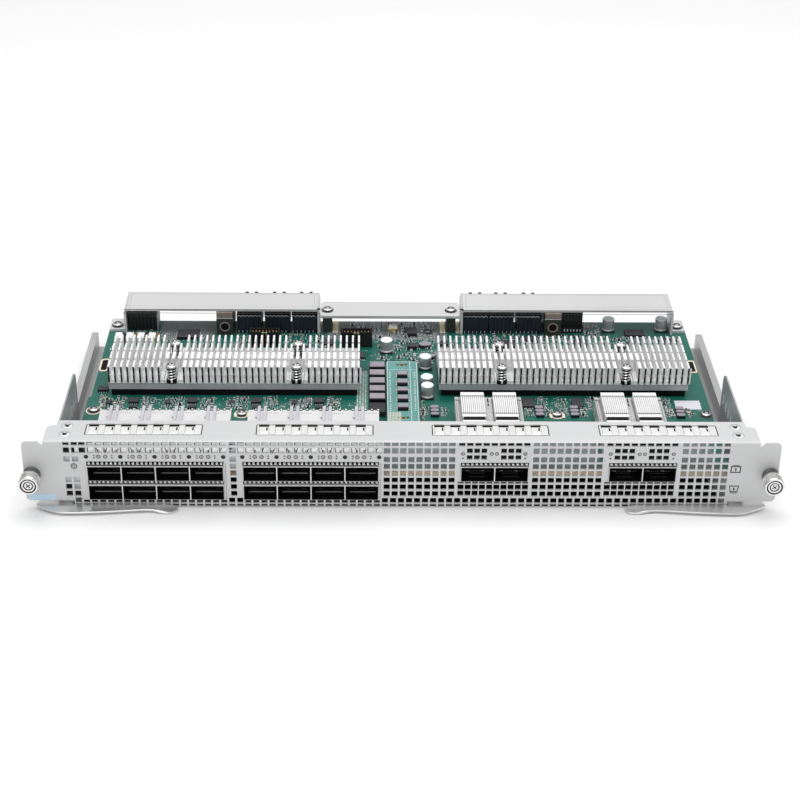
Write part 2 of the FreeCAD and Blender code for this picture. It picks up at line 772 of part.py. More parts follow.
# ------------------------------------------------------------------ heat sinks
def heat_sink(cx):
    """Extruded sink: a comb of fins, cross cut, with a well for each screw."""
    x0 = cx - SINK_LENGTH / 2
    floor = SINK_Z + SINK_BASE
    outline = [(x0, SINK_Z), (x0 + SINK_LENGTH, SINK_Z)]
    pitch = (SINK_LENGTH - FIN_T) / (FINS - 1)
    for i in reversed(range(FINS)):
        a = x0 + pitch * i
        outline += [(a + FIN_T, SINK_TOP), (a, SINK_TOP)]
        if i:
            outline += [(a, floor), (a - pitch + FIN_T, floor)]
    y0 = SINK_Y - SINK_DEPTH / 2
    y1 = SINK_Y + SINK_DEPTH / 2
    sink = prism_y(outline, y0, y1)
    cuts = []
    for sx in (-1, 1):
        for y in SINK_SCREW_Y:
            x = cx + sx * SINK_SCREW_DX / 2
            half = SCREW_WELL / 2
            front = y0 - 1 if y < SINK_Y else y - half
            rear = y + half if y < SINK_Y else y1 + 1
            cuts.append(box(x - half, x + half, front, rear, floor, SINK_TOP + 1))
            cuts.append(sided(x, y, SINK_SCREW_R + SHANK_GAP, SINK_Z - 1, floor + 1, SCREW_SIDES))
    return sink.cut(cuts)


def sink_screws():
    """Shouldered spring screws, head up, through sink and board."""
    screws = []
    head_z = SINK_TOP - HEAD_DROP
    for cx in SINK_X:
        for sx in (-1, 1):
            for y in SINK_SCREW_Y:
                x = cx + sx * SINK_SCREW_DX / 2
                head = sided(x, y, SINK_HEAD_R, head_z, head_z + SINK_HEAD_H, SCREW_SIDES)
                shank = sided(x, y, SINK_SCREW_R, BOARD_TOP, head_z + 0.1, SCREW_SIDES)
                screws.append(fused([head, shank]))
    return group(screws)


def sink_springs():
    """Closed-coil sleeves under the heads, down to the sink's base."""
    springs = []
    for cx in SINK_X:
        for sx in (-1, 1):
            for y in SINK_SCREW_Y:
                x = cx + sx * SINK_SCREW_DX / 2
                z0 = SINK_Z + SINK_BASE
                outer = sided(x, y, SPRING_R, z0, SINK_TOP - HEAD_DROP, SCREW_SIDES)
                inner = sided(x, y, SPRING_R - SPRING_WIRE, z0 - 1, SINK_TOP, SCREW_SIDES)
                springs.append(outer.cut(inner))
    return group(springs)


def centred_box(cx, cy, w, d, z0, z1):
    return box(cx - w / 2, cx + w / 2, cy - d / 2, cy + d / 2, z0, z1)


def switch_chip(cx):
    w, d = CHIP
    step = BOARD_TOP + CHIP_CARRIER_H
    inset = 2 * CHIP_LID_INSET
    carrier = centred_box(cx, CHIP_Y, w, d, BOARD_TOP, step)
    lid = centred_box(cx, CHIP_Y, w - inset, d - inset, step, BOARD_TOP + CHIP_H)
    return fused([carrier, lid])


def thermal_pads():
    w, d = CHIP
    inset = 2 * CHIP_LID_INSET
    z = BOARD_TOP + CHIP_H
    return group([centred_box(cx, CHIP_Y, w - inset, d - inset, z, SINK_Z) for cx in SINK_X])


# ------------------------------------------------------------------------ rear
def bridge(index):
    """Folded strip over the rear connectors: outer foot, leg, top, inner leg."""
    side = -1 if index == 0 else 1
    inner, outer = sorted(BRIDGE_X[index], key=abs)
    foot = side * (BOARD_HALF - FOOT_EDGE)
    t = side * BRIDGE_T
    under = BRIDGE_TOP - BRIDGE_T
    foot_z = BOARD_TOP + FOOT_T
    outline = [
        (foot, BOARD_TOP),
        (outer - t, BOARD_TOP),
        (outer - t, under),
        (inner + t, under),
        (inner + t, BOARD_TOP),
        (inner, BOARD_TOP),
        (inner, BRIDGE_TOP),
        (outer, BRIDGE_TOP),
        (outer, foot_z),
        (foot, foot_z),
    ]
    strip = prism_y(outline, BRIDGE_FRONT, BRIDGE_REAR)
    axis = V(0, 1, 0)

    def top_fold(c, e):
        return along(e, axis) and c.z > BRIDGE_TOP - 0.1

    strip = round_edges(strip, BRIDGE_R, top_fold)
    lo, hi = sorted((outer, foot + side))
    front_trim = box(lo, hi, BRIDGE_FRONT - 1, FOOT_Y[0], BOARD_TOP - 1, foot_z + 1)
    lo, hi = sorted((inner - side, foot + side))
    rear_trim = box(lo, hi, FOOT_Y[1], BRIDGE_REAR + 1, BOARD_TOP - 1, BRIDGE_TOP - LEG_CUT)
    return strip.cut([front_trim, rear_trim])


def centre_bar():
    y0, y1 = BAR_Y
    bar = box(BAR_X[0], BAR_X[1], y0, y1, BAR_TOP - BAR_T, BAR_TOP)
    axis = V(0, 0, 1)
    return round_edges(bar, BAR_CORNER_R, lambda c, e: along(e, axis) and c.y > y0 + 1)


def centre_posts():
    posts = []
    for x in CENTRE_POST_X:
        y0 = CENTRE_POST_FRONT
        posts.append(box(x, x + CENTRE_POST_W, y0, y0 + CENTRE_POST_DEPTH, BOARD_TOP, BAR_TOP - BAR_T))
    return group(posts)


def backplane_blocks(side):
    """Three right-angle connector blocks with a stepped, slotted mating face."""
    blocks = []
    top = BRIDGE_TOP - BRIDGE_T - SEAT_GAP
    wall = BACK_WALL
    for x in BACK_X[side]:
        block = box(x, x + BACK_W, BACK_FRONT, BLOCK_REAR, BOARD_TOP, top)
        rib_y = BRIDGE_REAR + SEAT_GAP
        ribs = []
        for dx in RIB_X:
            a = x + dx
            ribs.append(box(a, a + RIB_W, rib_y, BLOCK_REAR, top - wall, top + RIB_H))
        block = fused([block] + ribs)
        x1 = x + BACK_W
        step_y = BACK_FRONT + BACK_STEP
        step = box(x - 1, x1 + 1, BACK_FRONT - 1, step_y, top - BACK_STEP, top + 1)
        deep = BLOCK_REAR - BLOCK_MOUTH
        mouth = box(x + wall, x1 - wall, deep, BLOCK_REAR + 1, BOARD_TOP + wall, top - wall)
        blocks.append(block.cut([step, mouth]))
    return group(blocks)


def guide_module(index):
    """Alignment block with a round socket along Y and a stepped top."""
    x = GUIDE_X[index]
    top = BRIDGE_TOP - BRIDGE_T - SEAT_GAP
    step = GUIDE_FRONT + GUIDE_STEP
    block = box(x, x + GUIDE_W, step, BACK_REAR, BOARD_TOP, top)
    nose = box(x, x + GUIDE_W, GUIDE_FRONT, step + 1, BOARD_TOP, top - 2 * GUIDE_STEP)
    length = BACK_REAR - GUIDE_FRONT + 2
    bore = rod(x + GUIDE_W / 2, GUIDE_FRONT - 1, GUIDE_BORE_Z, GUIDE_BORE_R, length, V(0, 1, 0))
    return fused([block, nose]).cut(bore)


def power_connector():
    """Power block with a row of upright cells, front and rear."""
    x0, x1 = POWER_X
    top = BRIDGE_TOP - BRIDGE_T - SEAT_GAP
    block = box(x0, x1, POWER_FRONT, BACK_REAR, BOARD_TOP, top)
    cell = (x1 - x0) / POWER_CELLS
    wall = BACK_WALL / 2
    cuts = []
    for i in range(POWER_CELLS):
        a = x0 + cell * i + wall
        b = x0 + cell * (i + 1) - wall
        groove_top = top - 2 * BACK_STEP
        cuts.append(box(a, b, POWER_FRONT - 1, POWER_FRONT + wall, BOARD_TOP - 1, groove_top))
        mouth = BACK_REAR - MATING_DEPTH
        cuts.append(box(a, b, mouth, BACK_REAR + 1, BOARD_TOP + BACK_WALL, top - BACK_WALL))
    return block.cut(cuts)


def signal_connector():
    """Small block with a wider strip along its foot."""
    x0, x1 = SIGNAL_X
    top = BRIDGE_TOP - BRIDGE_T - SEAT_GAP - 1
    strip_y = SIGNAL_FRONT + SIGNAL_STRIP_D
    block = box(x0, x1, strip_y - 0.5, BACK_REAR - 2, BOARD_TOP, top)
    over = SIGNAL_STRIP_OVER
    strip = box(x0 - over, x1 + over, SIGNAL_FRONT, strip_y, BOARD_TOP, BOARD_TOP + SIGNAL_STRIP_H)
    return fused([block, strip])


# ----------------------------------------------------------- parts on the board
def box_headers():
    """Two header shrouds, each with a key slot in its front wall."""
    headers = []
    w, d, h = HEADER
    wall = HEADER_WALL
    y = HEADER_Y
    rim = BOARD_TOP + h
    for x in HEADER_X:
        shroud = box(x, x + w, y, y + d, BOARD_TOP, rim)
        well = box(x + wall, x + w - wall, y + wall, y + d - wall, BOARD_TOP + wall, rim + 1)
        mid = x + w / 2
        half = HEADER_KEY_W / 2
        key = box(mid - half, mid + half, y - 1, y + 2 * wall, BOARD_TOP + h / 2, rim + 1)
        headers.append(shroud.cut([well, key]))
    return group(headers)


def capacitors():
    """Round cans, each on its square foot."""
    cans = []
    step = BOARD_TOP + CAN_FOOT_H
    for x, y in CANS:
        foot = centred_box(x, y, 2 * CAN_R, 2 * CAN_R, BOARD_TOP, step)
        can = sided(x, y, CAN_R, step - 0.1, BOARD_TOP + CAN_H, CAN_SIDES)
        cans.append(fused([foot, can]))
    return group(cans)


def inductors():
    """A row of five moulded power inductors and the controller block."""
    w, d, h = COIL
    row = [box(COIL_X, COIL_X + w, y, y + d, BOARD_TOP, BOARD_TOP + h) for y in COIL_Y]
    w, d, h = CONTROLLER
    row.append(box(COIL_X, COIL_X + w, CONTROLLER_Y, CONTROLLER_Y + d, BOARD_TOP, BOARD_TOP + h))
    return group(row)


def mezzanine_board():
    """Narrow daughter board with two cross slots, above the main board."""
    board = box(MEZZ_X[0], MEZZ_X[1], MEZZ_Y[0], MEZZ_Y[1], MEZZ_Z, MEZZ_Z + MEZZ_T)
    w, d = MEZZ_SLOT
    mid = MEZZ_CHIP_X + MEZZ_CHIP[0] / 2
    slots = [box(mid - w / 2, mid + w / 2, y, y + d, MEZZ_Z - 1, MEZZ_Z + 3) for y in MEZZ_SLOT_Y]
    return board.cut(slots)


def mezzanine_sockets():
    rows = []
    for x in (MEZZ_X[0] + 1, MEZZ_X[1] - 1 - SOCKET_W):
        y0 = MEZZ_Y[0] + SOCKET_INSET
        y1 = MEZZ_Y[1] - SOCKET_INSET
        rows.append(box(x, x + SOCKET_W, y0, y1, BOARD_TOP, MEZZ_Z))
    return group(rows)


def mezzanine_chips():
    w, d, h = MEZZ_CHIP
    z = MEZZ_Z + MEZZ_T
    x = MEZZ_CHIP_X
    return group([box(x, x + w, y, y + d, z, z + h) for y in MEZZ_CHIP_Y])


def board_chips():
    return group([centred_box(x, y, w, d, BOARD_TOP, BOARD_TOP + h) for x, y, w, d, h in CHIPS])


def power_filters():
    """Two low blocks in front of the power connector."""
    z1 = BOARD_TOP + FILTER_H
    return group([box(x0, x1, FILTER_Y[0], FILTER_Y[1], BOARD_TOP, z1) for x0, x1 in FILTERS])


def label_plate():
    """Thin blank label on the board, behind the right-hand pair of ports."""
    return box(LABEL_X[0], LABEL_X[1], LABEL_Y[0], LABEL_Y[1], BOARD_TOP, BOARD_TOP + LABEL_T)


# --------------------------------------------------------------------- ejectors
def ejector():
    """Right-hand lever: a flat bar in front of the plate with a round end."""
    r = LEVER_END_R
    gap = -LEVER_FACE_GAP
    inner_x = LEVER_NOTCH_X + LEVER_NOTCH_GAP
    z0 = LEVER_Z
    z1 = LEVER_Z + LEVER_T
    a0, a1 = LEVER_END_ARC
    back_y = LEVER_END_Y + LEVER_BACK
    outline = [
        (LEVER_TIP_X + 2, gap),
        (LEVER_TIP_X, gap - 2),
        (LEVER_TIP_X, LEVER_TIP_Y),
    ]
    for i in range(LEVER_END_STEPS + 1):
        a = math.radians(a0 + (a1 - a0) * i / LEVER_END_STEPS)
        outline.append((LEVER_END_X + r * math.cos(a), LEVER_END_Y + r * math.sin(a)))
    outline += [
        (LEVER_END_X + 1, back_y),
        (inner_x, back_y - 5),
        (inner_x, gap),
    ]
    bar = prism_z(outline, z0, z1)
    root = LEVER_TIP_Y - 0.6
    front = root - LIP_REACH
    drop = z0 - LEVER_LIP_DROP
    lip = [
        (root, z1),
        (front, drop + LIP_EDGE),
        (front, drop),
        (root, z0),
    ]
    tongue = prism_x(lip, LEVER_TIP_X + 1.5, LIP_X)
    hole = rod(PIVOT_X, PIVOT_Y, z0 - 1, PIVOT_R + RUNNING_GAP, LEVER_T + 2, V(0, 0, 1))
    return fused([bar, tongue]).cut(hole)


def ejector_pivots():
    """Shouldered rivets set in the tray's front corners."""
    rivets = []
    top = LEVER_Z + LEVER_T + PIVOT_HEAD_GAP
    for side in (-1, 1):
        x = side * PIVOT_X
        up = V(0, 0, 1)
        body = rod(x, PIVOT_Y, JOGGLE_GAP, PIVOT_R, top, up)
        head = sided(x, PIVOT_Y, PIVOT_HEAD_R, top, top + PIVOT_HEAD_H, NECK_SIDES)
        rivets.append(fused([body, head]))
    return group(rivets)


# ------------------------------------------------------------------ thumbscrews
def knob_rod(r, y0, y1):
    return rod(KNOB_X, y0, KNOB_Z, r, y1 - y0, V(0, 1, 0))


def knob_prism(r, y0, y1, sides):
    """Many-sided bore or stub on the captive screw's axis, clear of radius r."""
    outer = r / math.cos(math.pi / sides)
    return prism_y(ring_points(KNOB_X, KNOB_Z, outer, sides), y0, y1)


def thumbscrew():
    """Right-hand captive screw: cup-shaped knob on a slim shank."""
    rear = KNOB_FRONT + KNOB_LENGTH
    cup = knob_prism(KNOB_R, KNOB_FRONT, rear, KNOB_SIDES)
    reach = FERRULE_R / math.cos(math.pi / NECK_SIDES) + CUP_GAP
    hollow = knob_prism(reach, KNOB_FRONT + KNOB_WALL, rear + 1, NECK_SIDES)
    socket = knob_prism(KNOB_SOCKET_R, KNOB_FRONT - 1, KNOB_FRONT + KNOB_SOCKET_D, SCREW_SIDES)
    shank = knob_rod(SHANK_R, KNOB_FRONT + KNOB_WALL - 0.1, SHANK_TIP)
    return fused([cup.cut([hollow, socket]), shank])


def ferrules():
    """Sleeves pressed into the ears; each carries a captive screw."""
    outer = knob_prism(FERRULE_R, FERRULE_FRONT, 0, NECK_SIDES)
    neck = knob_prism(FERRULE_NECK_R, -0.1, PLATE_T, NECK_SIDES)
    bore = knob_prism(FERRULE_BORE_R, FERRULE_FRONT - 1, FERRULE_SHOULDER, SCREW_SIDES)
    hole = knob_prism(SHANK_R + SHANK_GAP, FERRULE_SHOULDER - 1, PLATE_T + 1, SCREW_SIDES)
    right = fused([outer, neck]).cut([bore, hole])
    return group([right, mirrored(right)])


def retainer():
    """Small ring on the shank that keeps the screw in its ferrule."""
    y0 = PLATE_T + RUNNING_GAP
    ring = knob_prism(RETAINER_R, y0, y0 + RETAINER_T, NECK_SIDES)
    return ring.cut(knob_rod(SHANK_R + RUNNING_GAP, y0 - 1, y0 + 2))


def screw_springs():
    """Return springs of the captive screws, at their closed length."""
    y0 = KNOB_FRONT + KNOB_WALL + SCREW_TRAVEL + 0.2
    outer = knob_prism(COIL_R, y0, FERRULE_SHOULDER, SCREW_SIDES)
    inner = knob_prism(COIL_R - COIL_WALL, y0 - 1, FERRULE_SHOULDER + 1, SCREW_SIDES)
    right = outer.cut(inner)
    return group([right, mirrored(right)])


# --------------------------------------------------------------------- assembly
def build():
    upper, lower = port_rows()
    parts["base_tray"] = base_tray()
    parts["front_panel"] = front_panel()
    parts["flange_gaskets"] = flange_gaskets()
    right = side_plate()
    parts["right_side_plate"] = right
    parts["left_side_plate"] = mirrored(right)
    parts["standoffs"] = standoffs()
    parts["main_board"] = main_board()
    parts["board_screws"] = board_screws()

    names = ("left", "right")
    for i, left in enumerate(BANK_LEFT):
        parts[names[i] + "_upper_cage"] = cage(left, PORTS_PER_BANK, upper, CAGE_REAR)
        parts[names[i] + "_lower_cage"] = cage(left, PORTS_PER_BANK, lower, CAGE_REAR)
    for i, left in enumerate(WIDE_LEFT):
        parts[names[i] + "_wide_cage"] = cage(left, WIDE_PORTS, upper, WIDE_CAGE_REAR, True)
    up = []
    low = []
    wide = []
    for left in BANK_LEFT:
        up += receptacles(left, PORTS_PER_BANK, upper, CAGE_REAR)
        low += receptacles(left, PORTS_PER_BANK, lower, CAGE_REAR)
    for left in WIDE_LEFT:
        wide += receptacles(left, WIDE_PORTS, upper, WIDE_CAGE_REAR)
    parts["upper_receptacles"] = group(up)
    parts["lower_receptacles"] = group(low)
    parts["wide_receptacles"] = group(wide)
    parts["cage_gaskets"] = cage_gaskets()
    parts["light_pipes"] = light_pipes()
    for i in range(2 * len(WIDE_LEFT)):
        parts["riding_sink_%d" % (i + 1)] = riding_sink(i)
    for i in range(len(WIDE_LEFT)):
        parts[names[i] + "_sink_clip"] = rider_clip(i)

    for i, cx in enumerate(SINK_X):
        parts[names[i] + "_heat_sink"] = heat_sink(cx)
        parts[names[i] + "_switch_chip"] = switch_chip(cx)
    parts["thermal_pads"] = thermal_pads()
    parts["sink_screws"] = sink_screws()
    parts["sink_springs"] = sink_springs()

    for i in range(2):
        parts[names[i] + "_bridge"] = bridge(i)
        parts[names[i] + "_backplane_blocks"] = backplane_blocks(i)
        parts[names[i] + "_guide_module"] = guide_module(i)
    parts["centre_bar"] = centre_bar()
    parts["centre_posts"] = centre_posts()
    parts["power_connector"] = power_connector()
    parts["signal_connector"] = signal_connector()
    parts["box_headers"] = box_headers()
    parts["capacitors"] = capacitors()
    parts["inductors"] = inductors()
    parts["mezzanine_board"] = mezzanine_board()
    parts["mezzanine_sockets"] = mezzanine_sockets()
    parts["mezzanine_chips"] = mezzanine_chips()
    parts["board_chips"] = board_chips()
    parts["power_filters"] = power_filters()
    parts["board_label"] = label_plate()

    right = ejector()
    parts["right_ejector"] = right
    parts["left_ejector"] = mirrored(right)
    parts["ejector_pivots"] = ejector_pivots()
    right = thumbscrew()
    parts["right_thumbscrew"] = right
    parts["left_thumbscrew"] = mirrored(right)
    parts["screw_ferrules"] = ferrules()
    right = retainer()
    parts["right_screw_retainer"] = right
    parts["left_screw_retainer"] = mirrored(right)
    parts["screw_springs"] = screw_springs()


def write_out():
    os.makedirs("parts", exist_ok=True)
    for name, shape in parts.items():
        placed = shape.copy()
        placed.translate(V(0, -TRAY_MID_Y, 0))
        placed.exportStep(os.path.join("parts", name + ".step"))


build()
write_out()
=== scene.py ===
"""Looks of the switch line card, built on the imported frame.  Sizes in the
helpers are millimetres measured from the face plate's front face (Y), the
tray's underside (Z) and the card's middle (X); they are turned to metres in
the row frame when a piece is made."""
import math
import random

import bpy
from mathutils import Matrix, Vector
from mathutils.geometry import tessellate_polygon


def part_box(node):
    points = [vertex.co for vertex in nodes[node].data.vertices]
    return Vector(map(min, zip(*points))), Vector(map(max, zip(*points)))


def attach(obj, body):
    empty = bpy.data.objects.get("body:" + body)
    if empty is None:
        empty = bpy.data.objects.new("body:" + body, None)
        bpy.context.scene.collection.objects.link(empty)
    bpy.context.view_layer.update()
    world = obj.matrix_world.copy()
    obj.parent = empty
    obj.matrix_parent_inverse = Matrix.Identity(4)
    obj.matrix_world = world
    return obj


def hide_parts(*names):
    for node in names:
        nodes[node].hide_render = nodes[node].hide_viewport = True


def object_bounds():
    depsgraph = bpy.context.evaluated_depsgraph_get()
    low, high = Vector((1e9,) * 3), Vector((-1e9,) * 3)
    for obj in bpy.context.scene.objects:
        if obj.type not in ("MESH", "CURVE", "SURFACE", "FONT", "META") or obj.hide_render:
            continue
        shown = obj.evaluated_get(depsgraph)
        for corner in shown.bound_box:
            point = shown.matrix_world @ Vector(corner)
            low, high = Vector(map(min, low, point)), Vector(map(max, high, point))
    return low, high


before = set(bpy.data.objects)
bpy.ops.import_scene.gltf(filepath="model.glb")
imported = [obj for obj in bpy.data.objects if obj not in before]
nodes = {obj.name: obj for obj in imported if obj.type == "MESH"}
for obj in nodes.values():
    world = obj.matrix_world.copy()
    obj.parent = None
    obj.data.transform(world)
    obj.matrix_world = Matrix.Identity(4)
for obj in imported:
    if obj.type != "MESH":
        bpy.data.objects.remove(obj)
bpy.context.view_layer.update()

MM = 0.001
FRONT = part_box("front_panel")[0].y / MM      # row-frame Y of the plate's face
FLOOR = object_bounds()[0][2]


def node_mm(name):
    """Lowest and highest corner of a CAD node, in the helpers' millimetres."""
    lo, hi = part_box(name)
    return (
        (lo.x / MM, lo.y / MM - FRONT, lo.z / MM),
        (hi.x / MM, hi.y / MM - FRONT, hi.z / MM),
    )


PANEL_TOP = node_mm("front_panel")[1][2]
EAR_X = node_mm("front_panel")[1][0]
BOARD_TOP = node_mm("main_board")[1][2]
CAGE_LOW, CAGE_HIGH = node_mm("left_upper_cage")


# ------------------------------------------------------------------ materials
def wire(tree, node, inputs):
    """Give a node's inputs their values, or feed them from other sockets."""
    for key, value in inputs.items():
        if isinstance(value, bpy.types.NodeSocket):
            tree.links.new(value, node.inputs[key])
        else:
            node.inputs[key].default_value = value


def add_node(tree, kind, inputs, operation=None, data_type=None):
    """New shader node; what it works out is set before its inputs."""
    node = tree.nodes.new(kind)
    if operation:
        node.operation = operation
    if data_type:
        node.data_type = data_type
    wire(tree, node, inputs)
    return node


def make_material(name, base, rough=0.4, metal=0.0, scale=120, vary=0.08, bump=0.02,
                  rough_vary=0.08, coat=0.0, spec=0.5, transmit=0.0):
    """Principled material whose colour, roughness and relief follow noise."""
    m = bpy.data.materials.new(name)
    m.use_nodes = True
    t = m.node_tree
    place = add_node(t, "ShaderNodeTexCoord", {}).outputs["Object"]
    spread = scale if isinstance(scale, tuple) else (scale,) * 3
    mapping = add_node(t, "ShaderNodeMapping", {"Scale": spread, "Vector": place})
    cloud = add_node(t, "ShaderNodeTexNoise",
                     {"Scale": 1.0, "Detail": 5.0, "Vector": mapping.outputs["Vector"]})
    ramp = add_node(t, "ShaderNodeValToRGB", {"Fac": cloud.outputs["Fac"]})
    low, high = ramp.color_ramp.elements
    low.color = [c * (1 - vary) for c in base] + [1]
    high.color = [min(1.0, c * (1 + vary)) for c in base] + [1]
    low.position = 0.3
    high.position = 0.7
    gloss = add_node(t, "ShaderNodeMapRange", {
        "To Min": max(0.02, rough - rough_vary), "To Max": min(1.0, rough + rough_vary),
        "Value": cloud.outputs["Fac"]})
    grain = add_node(t, "ShaderNodeTexNoise", {"Scale": 900.0, "Detail": 3.0, "Vector": place})
    relief = add_node(t, "ShaderNodeBump",
                      {"Strength": bump, "Distance": 0.0004, "Height": grain.outputs["Fac"]})
    wire(t, t.nodes["Principled BSDF"], {
        "Base Color": ramp.outputs["Color"], "Roughness": gloss.outputs["Result"],
        "Normal": relief.outputs["Normal"], "Metallic": metal, "Coat Weight": coat,
        "Specular IOR Level": spec, "Transmission Weight": transmit})
    return m


def make_board(name, base, trace):
    """Solder mask over copper traces: lighter lines, vias and faint patches."""
    m = make_material(name, base, 0.38, 0.0, 60, 0.12, 0.03, coat=0.25)
    t = m.node_tree
    ramp = [n for n in t.nodes if n.type == "VALTORGB"][0]
    place = [n for n in t.nodes if n.type == "TEX_COORD"][0].outputs["Object"]
    lines = add_node(t, "ShaderNodeTexBrick", {
        "Scale": 150.0, "Mortar Size": 0.035, "Color1": (0, 0, 0, 1), "Color2": (0.25, 0.25, 0.25, 1),
        "Mortar": (1, 1, 1, 1), "Vector": place})
    cells = add_node(t, "ShaderNodeTexVoronoi", {"Scale": 260.0, "Vector": place})
    vias = add_node(t, "ShaderNodeMath", {0: cells.outputs["Distance"], 1: 0.16}, operation="LESS_THAN")
    both = add_node(t, "ShaderNodeMath", {0: lines.outputs["Fac"], 1: vias.outputs["Value"]},
                    operation="MAXIMUM")
    strength = add_node(t, "ShaderNodeMath", {0: both.outputs["Value"], 1: 0.35}, operation="MULTIPLY")
    mix = add_node(t, "ShaderNodeMix", {
        "B": trace + (1,), "Factor": strength.outputs["Value"], "A": ramp.outputs["Color"]},
        data_type="RGBA")
    t.links.new(mix.outputs["Result"], t.nodes["Principled BSDF"].inputs["Base Color"])
    return m


# Name, colour, roughness, metal, scale of the noise, spread of the colour, relief.
PLATE = make_material("plate_satin", (0.60, 0.603, 0.608), 0.5, 0.2, 9, 0.03, 0.03)
PLATE_TOP = make_material("bridge_satin", (0.64, 0.64, 0.64), 0.45, 0.25, 10, 0.03, 0.03)
TRAY = make_material("tray_zinc", (0.55, 0.55, 0.55), 0.4, 0.6, (30, 8, 8), 0.06, 0.03)
SIDE = make_material("side_zinc", (0.52, 0.52, 0.53), 0.38, 0.6, (8, 30, 30), 0.06, 0.03)
CAGE = make_material("cage_nickel", (0.74, 0.74, 0.735), 0.38, 0.2, (90, 20, 20), 0.04, 0.04)
GASKET = make_material("finger_strip", (0.80, 0.80, 0.79), 0.32, 0.25, (200, 40, 40), 0.04, 0.03)
CLIP = make_material("clip_steel", (0.72, 0.72, 0.71), 0.32, 0.6, 60, 0.06, 0.04)
FIN = make_material("fin_sides", (0.86, 0.86, 0.86), 0.45, 0.15, (20, 260, 20), 0.08, 0.05)
# The fin base is a darker copy of the fin aluminium: painted shade.
FIN_BASE = make_material("fin_base", (0.50, 0.50, 0.505), 0.45, 0.4, (10, 120, 120), 0.1, 0.05)
BOARD = make_board("solder_mask_teal", (0.001, 0.098, 0.072), (0.02, 0.23, 0.18))
BOARD_PALE = make_board("solder_mask_pale", (0.08, 0.27, 0.25), (0.32, 0.47, 0.45))
BOARD_EDGE = make_material("laminate_edge", (0.96, 0.76, 0.55), 0.7, 0.0, (300, 300, 900), 0.1, 0.08)
BLACK = make_material("moulded_black", (0.012, 0.012, 0.013), 0.45, 0.0, 150, 0.2, 0.04, spec=0.35)
CHIP = make_material("chip_black", (0.030, 0.029, 0.033), 0.5, 0.0, 200, 0.2, 0.06, spec=0.4)
# Near black: the colour of some black parts, and painted shade inside ports, vents, wells and slots and
# under the sinks.
BLACK_AND_SHADE = make_material("black_and_painted_shade", (0.004, 0.004, 0.0045), 0.55, 0.0, 100, 0.25, 0.02, spec=0.15)
COIL = make_material("coil_lilac", (0.31, 0.28, 0.325), 0.5, 0.0, 260, 0.12, 0.06)
SCREW = make_material("screw_nickel", (0.72, 0.71, 0.70), 0.26, 0.85, (300, 300, 60), 0.08, 0.04)
# Painted shade in the recesses and grooves of the screws and knobs and on the dark sides of their heads.
SCREW_SHADE = make_material("screw_painted_shade", (0.022, 0.022, 0.022), 0.45, 0.3, 300, 0.2, 0.04, spec=0.3)
LEVER = make_material("lever_polished", (0.76, 0.76, 0.76), 0.3, 0.8, (40, 10, 10), 0.02, 0.004,
                      rough_vary=0.03)
SPRING = make_material("spring_wire", (0.70, 0.70, 0.70), 0.22, 1.0, 300, 0.08, 0.02)
PIPE = make_material("pipe_clear", (0.74, 0.73, 0.79), 0.15, 0.0, 90, 0.05, 0.01, transmit=0.3)
GOLD = make_material("contact_gold", (0.83, 0.62, 0.28), 0.28, 0.9, 300, 0.1, 0.03)
CREAM = make_material("connector_cream", (0.80, 0.72, 0.58), 0.5, 0.0, 200, 0.06, 0.03)
TAN = make_material("connector_tan", (0.52, 0.42, 0.36), 0.5, 0.0, 150, 0.1, 0.04)
WHITE = make_material("label_white", (0.84, 0.84, 0.84), 0.5, 0.0, 60, 0.03, 0.02)
STICKER = make_material("sticker_blue", (0.50, 0.70, 0.84), 0.35, 0.0, 80, 0.03, 0.01)
CAN = make_material("can_top", (0.86, 0.93, 0.95), 0.4, 0.15, (260, 260, 60), 0.05, 0.02)
CAN_SIDE = make_material("can_side", (0.50, 0.50, 0.51), 0.36, 0.7, (60, 60, 260), 0.08, 0.02)
SMD = make_material("smd_body", (0.035, 0.033, 0.034), 0.5, 0.0, 500, 0.4, 0.05)
SMD_TAN = make_material("smd_tan", (0.34, 0.27, 0.23), 0.5, 0.0, 500, 0.2, 0.05)
SOLDER = make_material("solder_tin", (0.74, 0.76, 0.76), 0.35, 0.5, 500, 0.15, 0.08)
SILK = make_material("silk_white", (0.75, 0.77, 0.76), 0.6, 0.0, 400, 0.08, 0.02)
# Dark grey for printed and engraved marks, and for painted shade lines on the fins and the finger rows.
MARK_AND_SHADE = make_material("mark_and_painted_shade", (0.028, 0.028, 0.028), 0.6, 0.0, 500, 0.2, 0.02, spec=0.3)
# Mid grey for the status lenses and small grey parts; also painted shade rims round the fold's windows and
# screws, and a painted highlight bar inside the ports.
MID_GREY = make_material("mid_grey", (0.36, 0.36, 0.37), 0.35, 0.0, 500, 0.1, 0.02)
PINK = make_material("part_pink", (0.80, 0.45, 0.42), 0.4, 0.0, 300, 0.1, 0.02)
PAD = make_material("pad_grey", (0.30, 0.31, 0.33), 0.7, 0.0, 300, 0.1, 0.08)
# Painted shade: dark lines along edges, slots and gaps.
EDGE_SHADE = make_material("painted_edge_shade", (0.12, 0.12, 0.12), 0.5, 0.3, 50, 0.1, 0.02)
